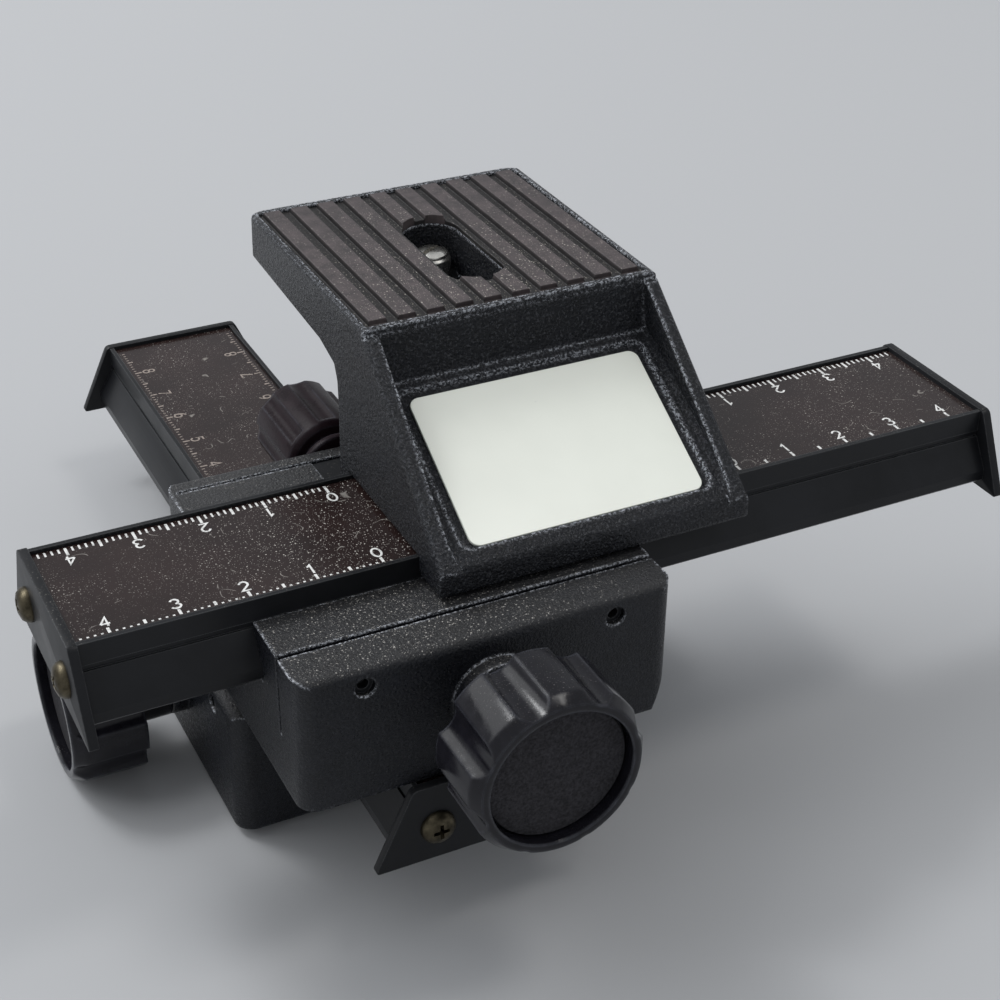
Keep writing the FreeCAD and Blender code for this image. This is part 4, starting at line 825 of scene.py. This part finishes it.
def cross_cutter(centre, out, reach, width, depth, top, spin):
    """Tapered cross that cuts a recess down from top, turned by spin."""
    bm = bmesh.new()
    for quarter in (0.0, math.pi / 2):
        made = bmesh.ops.create_cube(bm, size=1.0)["verts"]
        bmesh.ops.scale(bm, vec=(2 * reach * MM, width * MM, depth * MM), verts=made)
        for vert in made:
            if vert.co.z < 0:
                vert.co.x *= RECESS_TAPER[0]
                vert.co.y *= RECESS_TAPER[1]
        bmesh.ops.rotate(bm, cent=(0, 0, 0), matrix=Matrix.Rotation(quarter + spin, 3, "Z"), verts=made)
        bmesh.ops.translate(bm, vec=(0, 0, (top - depth / 2) * MM), verts=made)
    turn = Vector((0, 0, 1)).rotation_difference(Vector(out)).to_matrix().to_4x4()
    bmesh.ops.transform(bm, matrix=Matrix.Translation(centre) @ turn, verts=bm.verts)
    return bm


def carve(obj, cutter_bm):
    """Cut a cutter mesh out of a piece for good."""
    mesh = bpy.data.meshes.new("cutter")
    cutter_bm.to_mesh(mesh)
    cutter_bm.free()
    cutter = bpy.data.objects.new("cutter", mesh)
    bpy.context.scene.collection.objects.link(cutter)
    cut = obj.modifiers.new("Recess", "BOOLEAN")
    cut.operation = "DIFFERENCE"
    cut.solver = "EXACT"
    cut.use_self = True
    cut.object = cutter
    bpy.context.view_layer.update()
    evaluated = obj.evaluated_get(bpy.context.evaluated_depsgraph_get())
    carved = bpy.data.meshes.new_from_object(evaluated)
    obj.modifiers.remove(cut)
    old = obj.data
    obj.data = carved
    carved.name = obj.name
    bpy.data.meshes.remove(old)
    bpy.data.objects.remove(cutter)
    bpy.data.meshes.remove(mesh)


class RAIL_OT_end_screws(bpy.types.Operator):
    """Browned cross-head screws of the end plates"""
    bl_idname = "rail.end_screws"
    bl_label = "End plate screws"

    def execute(self, context):
        ends = {"upper_end_screws_left": (-1, 0, 0), "upper_end_screws_right": (1, 0, 0),
                "lower_end_screws_front": (0, -1, 0), "lower_end_screws_rear": (0, 1, 0)}
        for index, (node, out) in enumerate(ends.items()):
            low, high = (Vector(corner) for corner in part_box(node))
            out = Vector(out)
            head_r = (high.z - low.z) / 2 / MM
            tip = Vector([high[i] if out[i] > 0 else low[i] if out[i] < 0 else 0.0 for i in range(3)])
            across = Vector((0, 1, 0)) if abs(out.x) > 0.5 else Vector((1, 0, 0))
            middle = (low + high) / 2
            spread = ((high - low).dot(across)) / 2 - head_r * MM
            for side in (-1, 1):
                centre = Vector([tip[i] if abs(out[i]) > 0.5 else middle[i] for i in range(3)])
                centre += across * side * spread - out * SCREW_RISE * MM
                bm = cross_head_screw(centre, out, head_r, SCREW_RISE, *SCREW_SHANK)
                name = f"{node}_{'a' if side < 0 else 'b'}"
                obj = finish_piece(bm, name, body_of_node(node), finish("Browned screw"))
                carve(obj, cross_cutter(centre, out, *RECESS, SCREW_RISE * 1.02, 0.6 + index + side))
                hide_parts(node)
        return {"FINISHED"}


class RAIL_OT_drive_knobs(bpy.types.Operator):
    """Fluted drive knobs with their felt-faced inserts"""
    bl_idname = "rail.drive_knobs"
    bl_label = "Drive knobs"

    def execute(self, context):
        edge = context.scene.rail_edges.knob
        for unit in ("lower", "upper"):
            soften(unit + "_drive_knob", finish("Gloss moulding"), edge, 3, 24.0, 52.0)
            soften(unit + "_knob_disc", finish("Felt"), edge / 3, 2)
            paint(NODES[unit + "_drive_shaft"], finish("Steel"))
            paint(NODES[unit + "_pinion"], finish("Steel"))
            paint(NODES[unit + "_shaft_bushes"], finish("Brass"))
        return {"FINISHED"}


class RAIL_OT_lock_knobs(bpy.types.Operator):
    """Lock knobs, their screws, washers and brake shoes"""
    bl_idname = "rail.lock_knobs"
    bl_label = "Lock knobs"

    def execute(self, context):
        edge = context.scene.rail_edges.knob
        for unit in ("lower", "upper"):
            soften(unit + "_lock_knob", finish("Lock moulding"), edge / 2, 3, 30.0, 45.0)
            soften(unit + "_lock_washer", finish("Lock moulding"), edge / 2, 2)
            paint(NODES[unit + "_lock_screw"], finish("Steel"))
            soften(unit + "_brake_shoe", finish("Satin black"), edge / 3, 2)
        return {"FINISHED"}


class RAIL_OT_platform(bpy.types.Operator):
    """Camera platform in hammer paint"""
    bl_idname = "rail.platform"
    bl_label = "Camera platform"

    def execute(self, context):
        edges = context.scene.rail_edges
        low, high = (Vector(corner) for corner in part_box("camera_platform"))

        def on_outside(vert):
            """Whether a point lies on the left or right, and whether on the front or back."""
            across = min(vert.co.x - low.x, high.x - vert.co.x) < SIDE_BAND * MM
            return across, min(vert.co.y - low.y, high.y - vert.co.y) < END_BAND * MM

        def round_outline(bm):
            """Round the long outer edges, on the sides, the front and the back."""
            outer = []
            for edge in bm.edges:
                first, second = (on_outside(vert) for vert in edge.verts)
                same = any(a and b for a, b in zip(first, second))
                bent = len(edge.link_faces) == 2 and edge.calc_face_angle_signed(0.0) > math.radians(40.0)
                if same and bent and edge.calc_length() > LONG_EDGE * MM:
                    outer.append(edge)
            bmesh.ops.bevel(bm, geom=outer, offset=edges.platform, offset_type="OFFSET", affect="EDGES",
                            segments=3, profile=0.5, material=-1, clamp_overlap=False)

        soften("camera_platform", finish("Hammer paint"), edges.casting / 2, 2,
               reshape=round_outline)
        return {"FINISHED"}


def rib_places():
    """Middle of the pad's first rib along X, and the pitch of the ribs."""
    low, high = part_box("rubber_pad")
    margin = RIB_MARGIN * MM
    return low[0] + margin, (high[0] - low[0] - 2 * margin) / (RIB_COUNT - 1)


class RAIL_OT_pad(bpy.types.Operator):
    """Ribbed rubber pad"""
    bl_idname = "rail.pad"
    bl_label = "Rubber pad"

    def execute(self, context):
        edges = context.scene.rail_edges
        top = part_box("rubber_pad")[1][2]
        first, pitch = rib_places()

        def widen_ribs(bm):
            """Draw the top corners of each rib outwards, so that its walls stand steeper."""
            for vert in bm.verts:
                off = (vert.co.x - first + pitch / 2) % pitch - pitch / 2
                if vert.co.z > top - 0.01 * MM and abs(off) > RIB_CORE * MM:
                    vert.co.x += math.copysign(edges.rib, off)

        soften("rubber_pad", finish("Ribbed rubber"), edges.pad, 2, reshape=widen_ribs)
        return {"FINISHED"}


class RAIL_OT_badge(bpy.types.Operator):
    """Blank enamel plate on the sloping front"""
    bl_idname = "rail.badge"
    bl_label = "Blank badge"

    def execute(self, context):
        soften("badge_plate", finish("Blank enamel"), context.scene.rail_edges.bar)
        return {"FINISHED"}


class RAIL_OT_camera_screw(bpy.types.Operator):
    """Captive camera screw with its knob, washer and bush"""
    bl_idname = "rail.camera_screw"
    bl_label = "Camera screw"

    def execute(self, context):
        edge = context.scene.rail_edges.knob
        soften("camera_screw_knob", finish("Gloss moulding"), edge, 3)
        soften("slot_bush", finish("Satin black"), edge / 3)
        soften("screw_washer", finish("Bright steel"), edge / 3)
        soften("camera_screw", finish("Bright steel"), edge / 4)
        low, high = (Vector(corner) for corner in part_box("camera_screw"))
        centre = Vector(((low.x + high.x) / 2, (low.y + high.y) / 2, high.z))
        bm = cross_head_screw(centre, (0, 0, 1), TIP_RADIUS, TIP_RISE, *TIP_SHANK)
        body = body_of_node("camera_screw")
        tip = finish_piece(bm, "camera_screw_tip", body, finish("Bright steel"))
        slot = bmesh.new()
        size = Matrix.Diagonal((*(side * MM for side in TIP_SLOT), 1.0))
        top = Matrix.Translation(centre + Vector((0, 0, TIP_RISE * MM)))
        bmesh.ops.create_cube(slot, size=1.0, matrix=top @ Matrix.Rotation(TIP_TURN, 4, "Z") @ size)
        carve(tip, slot)
        return {"FINISHED"}


class RAIL_OT_small_parts(bpy.types.Operator):
    """Finishes of the racks, bushes and hidden screws"""
    bl_idname = "rail.small_parts"
    bl_label = "Small parts"

    def execute(self, context):
        for unit in ("lower", "upper"):
            paint(NODES[unit + "_rack"], finish("Steel"))
            paint(NODES[unit + "_rack_screws"], finish("Steel"))
            paint(NODES[unit + "_gib_screws"], finish("Satin black"))
        for node in ("carriage_screws", "platform_screws"):
            paint(NODES[node], finish("Steel"))
        paint(NODES["tripod_bush"], finish("Brass"))
        return {"FINISHED"}


# ---------------------------------------------------------------- stage
def area_lamp(name, place, size, power, tint):
    lamp = bpy.data.lights.new(name, "AREA")
    lamp.shape = "RECTANGLE"
    lamp.size, lamp.size_y = size
    lamp.energy = power
    lamp.color = tint
    obj = bpy.data.objects.new(name, lamp)
    obj.location = place
    obj.rotation_euler = (Vector(LAMP_TARGET) - Vector(place)).to_track_quat("-Z", "Y").to_euler()
    bpy.context.scene.collection.objects.link(obj)


class RAIL_OT_stage(bpy.types.Operator):
    """Floor, lamps and camera"""
    bl_idname = "rail.stage"
    bl_label = "Stage"

    def execute(self, context):
        stage = context.scene.rail_stage
        bm = bmesh.new()
        bmesh.ops.create_grid(bm, x_segments=2, y_segments=2, size=FLOOR_HALF,
                              matrix=Matrix.Translation((0, 0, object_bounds()[0][2])))
        mesh = bpy.data.meshes.new("floor")
        bm.to_mesh(mesh)
        bm.free()
        floor = bpy.data.objects.new("floor", mesh)
        context.scene.collection.objects.link(floor)
        material, _, bsdf = new_material("Floor")
        bsdf.inputs["Base Color"].default_value = (*stage.floor, 1.0)
        bsdf.inputs["Roughness"].default_value = 0.9
        paint(floor, material)
        floor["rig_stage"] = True
        world = bpy.data.worlds.new("World")
        world.use_nodes = True
        backdrop = world.node_tree.nodes["Background"]
        backdrop.inputs["Color"].default_value = WORLD_COLOUR
        backdrop.inputs["Strength"].default_value = WORLD_STRENGTH
        context.scene.world = world
        for name, setting in LAMPS.items():
            area_lamp(name, *setting)
        camera = bpy.data.objects.new("camera", bpy.data.cameras.new("camera"))
        camera.data.lens = stage.lens
        camera.data.sensor_width = 36.0
        camera.data.clip_start = 0.005
        camera.location = stage.camera
        camera.rotation_euler = stage.aim
        context.scene.collection.objects.link(camera)
        context.scene.camera = camera
        context.scene.view_settings.view_transform = "Standard"
        return {"FINISHED"}


OPERATORS = (RAIL_OT_castings, RAIL_OT_bars, RAIL_OT_scales, RAIL_OT_end_screws, RAIL_OT_drive_knobs,
             RAIL_OT_lock_knobs, RAIL_OT_platform, RAIL_OT_pad, RAIL_OT_badge, RAIL_OT_camera_screw,
             RAIL_OT_small_parts, RAIL_OT_stage)


class RAIL_PT_panel(bpy.types.Panel):
    """Sizes and finishes of the focusing rail"""
    bl_idname = "RAIL_PT_panel"
    bl_label = "Focusing Rail"
    bl_space_type = "VIEW_3D"
    bl_region_type = "UI"
    bl_category = "Focusing Rail"

    def draw(self, context):
        for group in (context.scene.rail_edges, context.scene.rail_scales, context.scene.rail_finishes,
                      context.scene.rail_stage):
            box = self.layout.box()
            for key in group.__annotations__:
                box.prop(group, key)
        for operator in OPERATORS:
            self.layout.operator(operator.bl_idname)


CLASSES = (RailEdges, RailScales, RailFinishes, RailStage) + OPERATORS + (RAIL_PT_panel,)


def register():
    for item in CLASSES:
        bpy.utils.register_class(item)
    bpy.types.Scene.rail_edges = bpy.props.PointerProperty(type=RailEdges)
    bpy.types.Scene.rail_scales = bpy.props.PointerProperty(type=RailScales)
    bpy.types.Scene.rail_finishes = bpy.props.PointerProperty(type=RailFinishes)
    bpy.types.Scene.rail_stage = bpy.props.PointerProperty(type=RailStage)


def unregister():
    for key in ("rail_edges", "rail_scales", "rail_finishes", "rail_stage"):
        delattr(bpy.types.Scene, key)
    for item in reversed(CLASSES):
        bpy.utils.unregister_class(item)


def main():
    register()
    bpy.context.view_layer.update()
    bpy.ops.rail.castings()
    bpy.ops.rail.bars()
    bpy.ops.rail.scales()
    bpy.ops.rail.end_screws()
    bpy.ops.rail.drive_knobs()
    bpy.ops.rail.lock_knobs()
    bpy.ops.rail.platform()
    bpy.ops.rail.pad()
    bpy.ops.rail.badge()
    bpy.ops.rail.camera_screw()
    bpy.ops.rail.small_parts()
    bpy.ops.rail.stage()


if __name__ == "__main__":
    main()
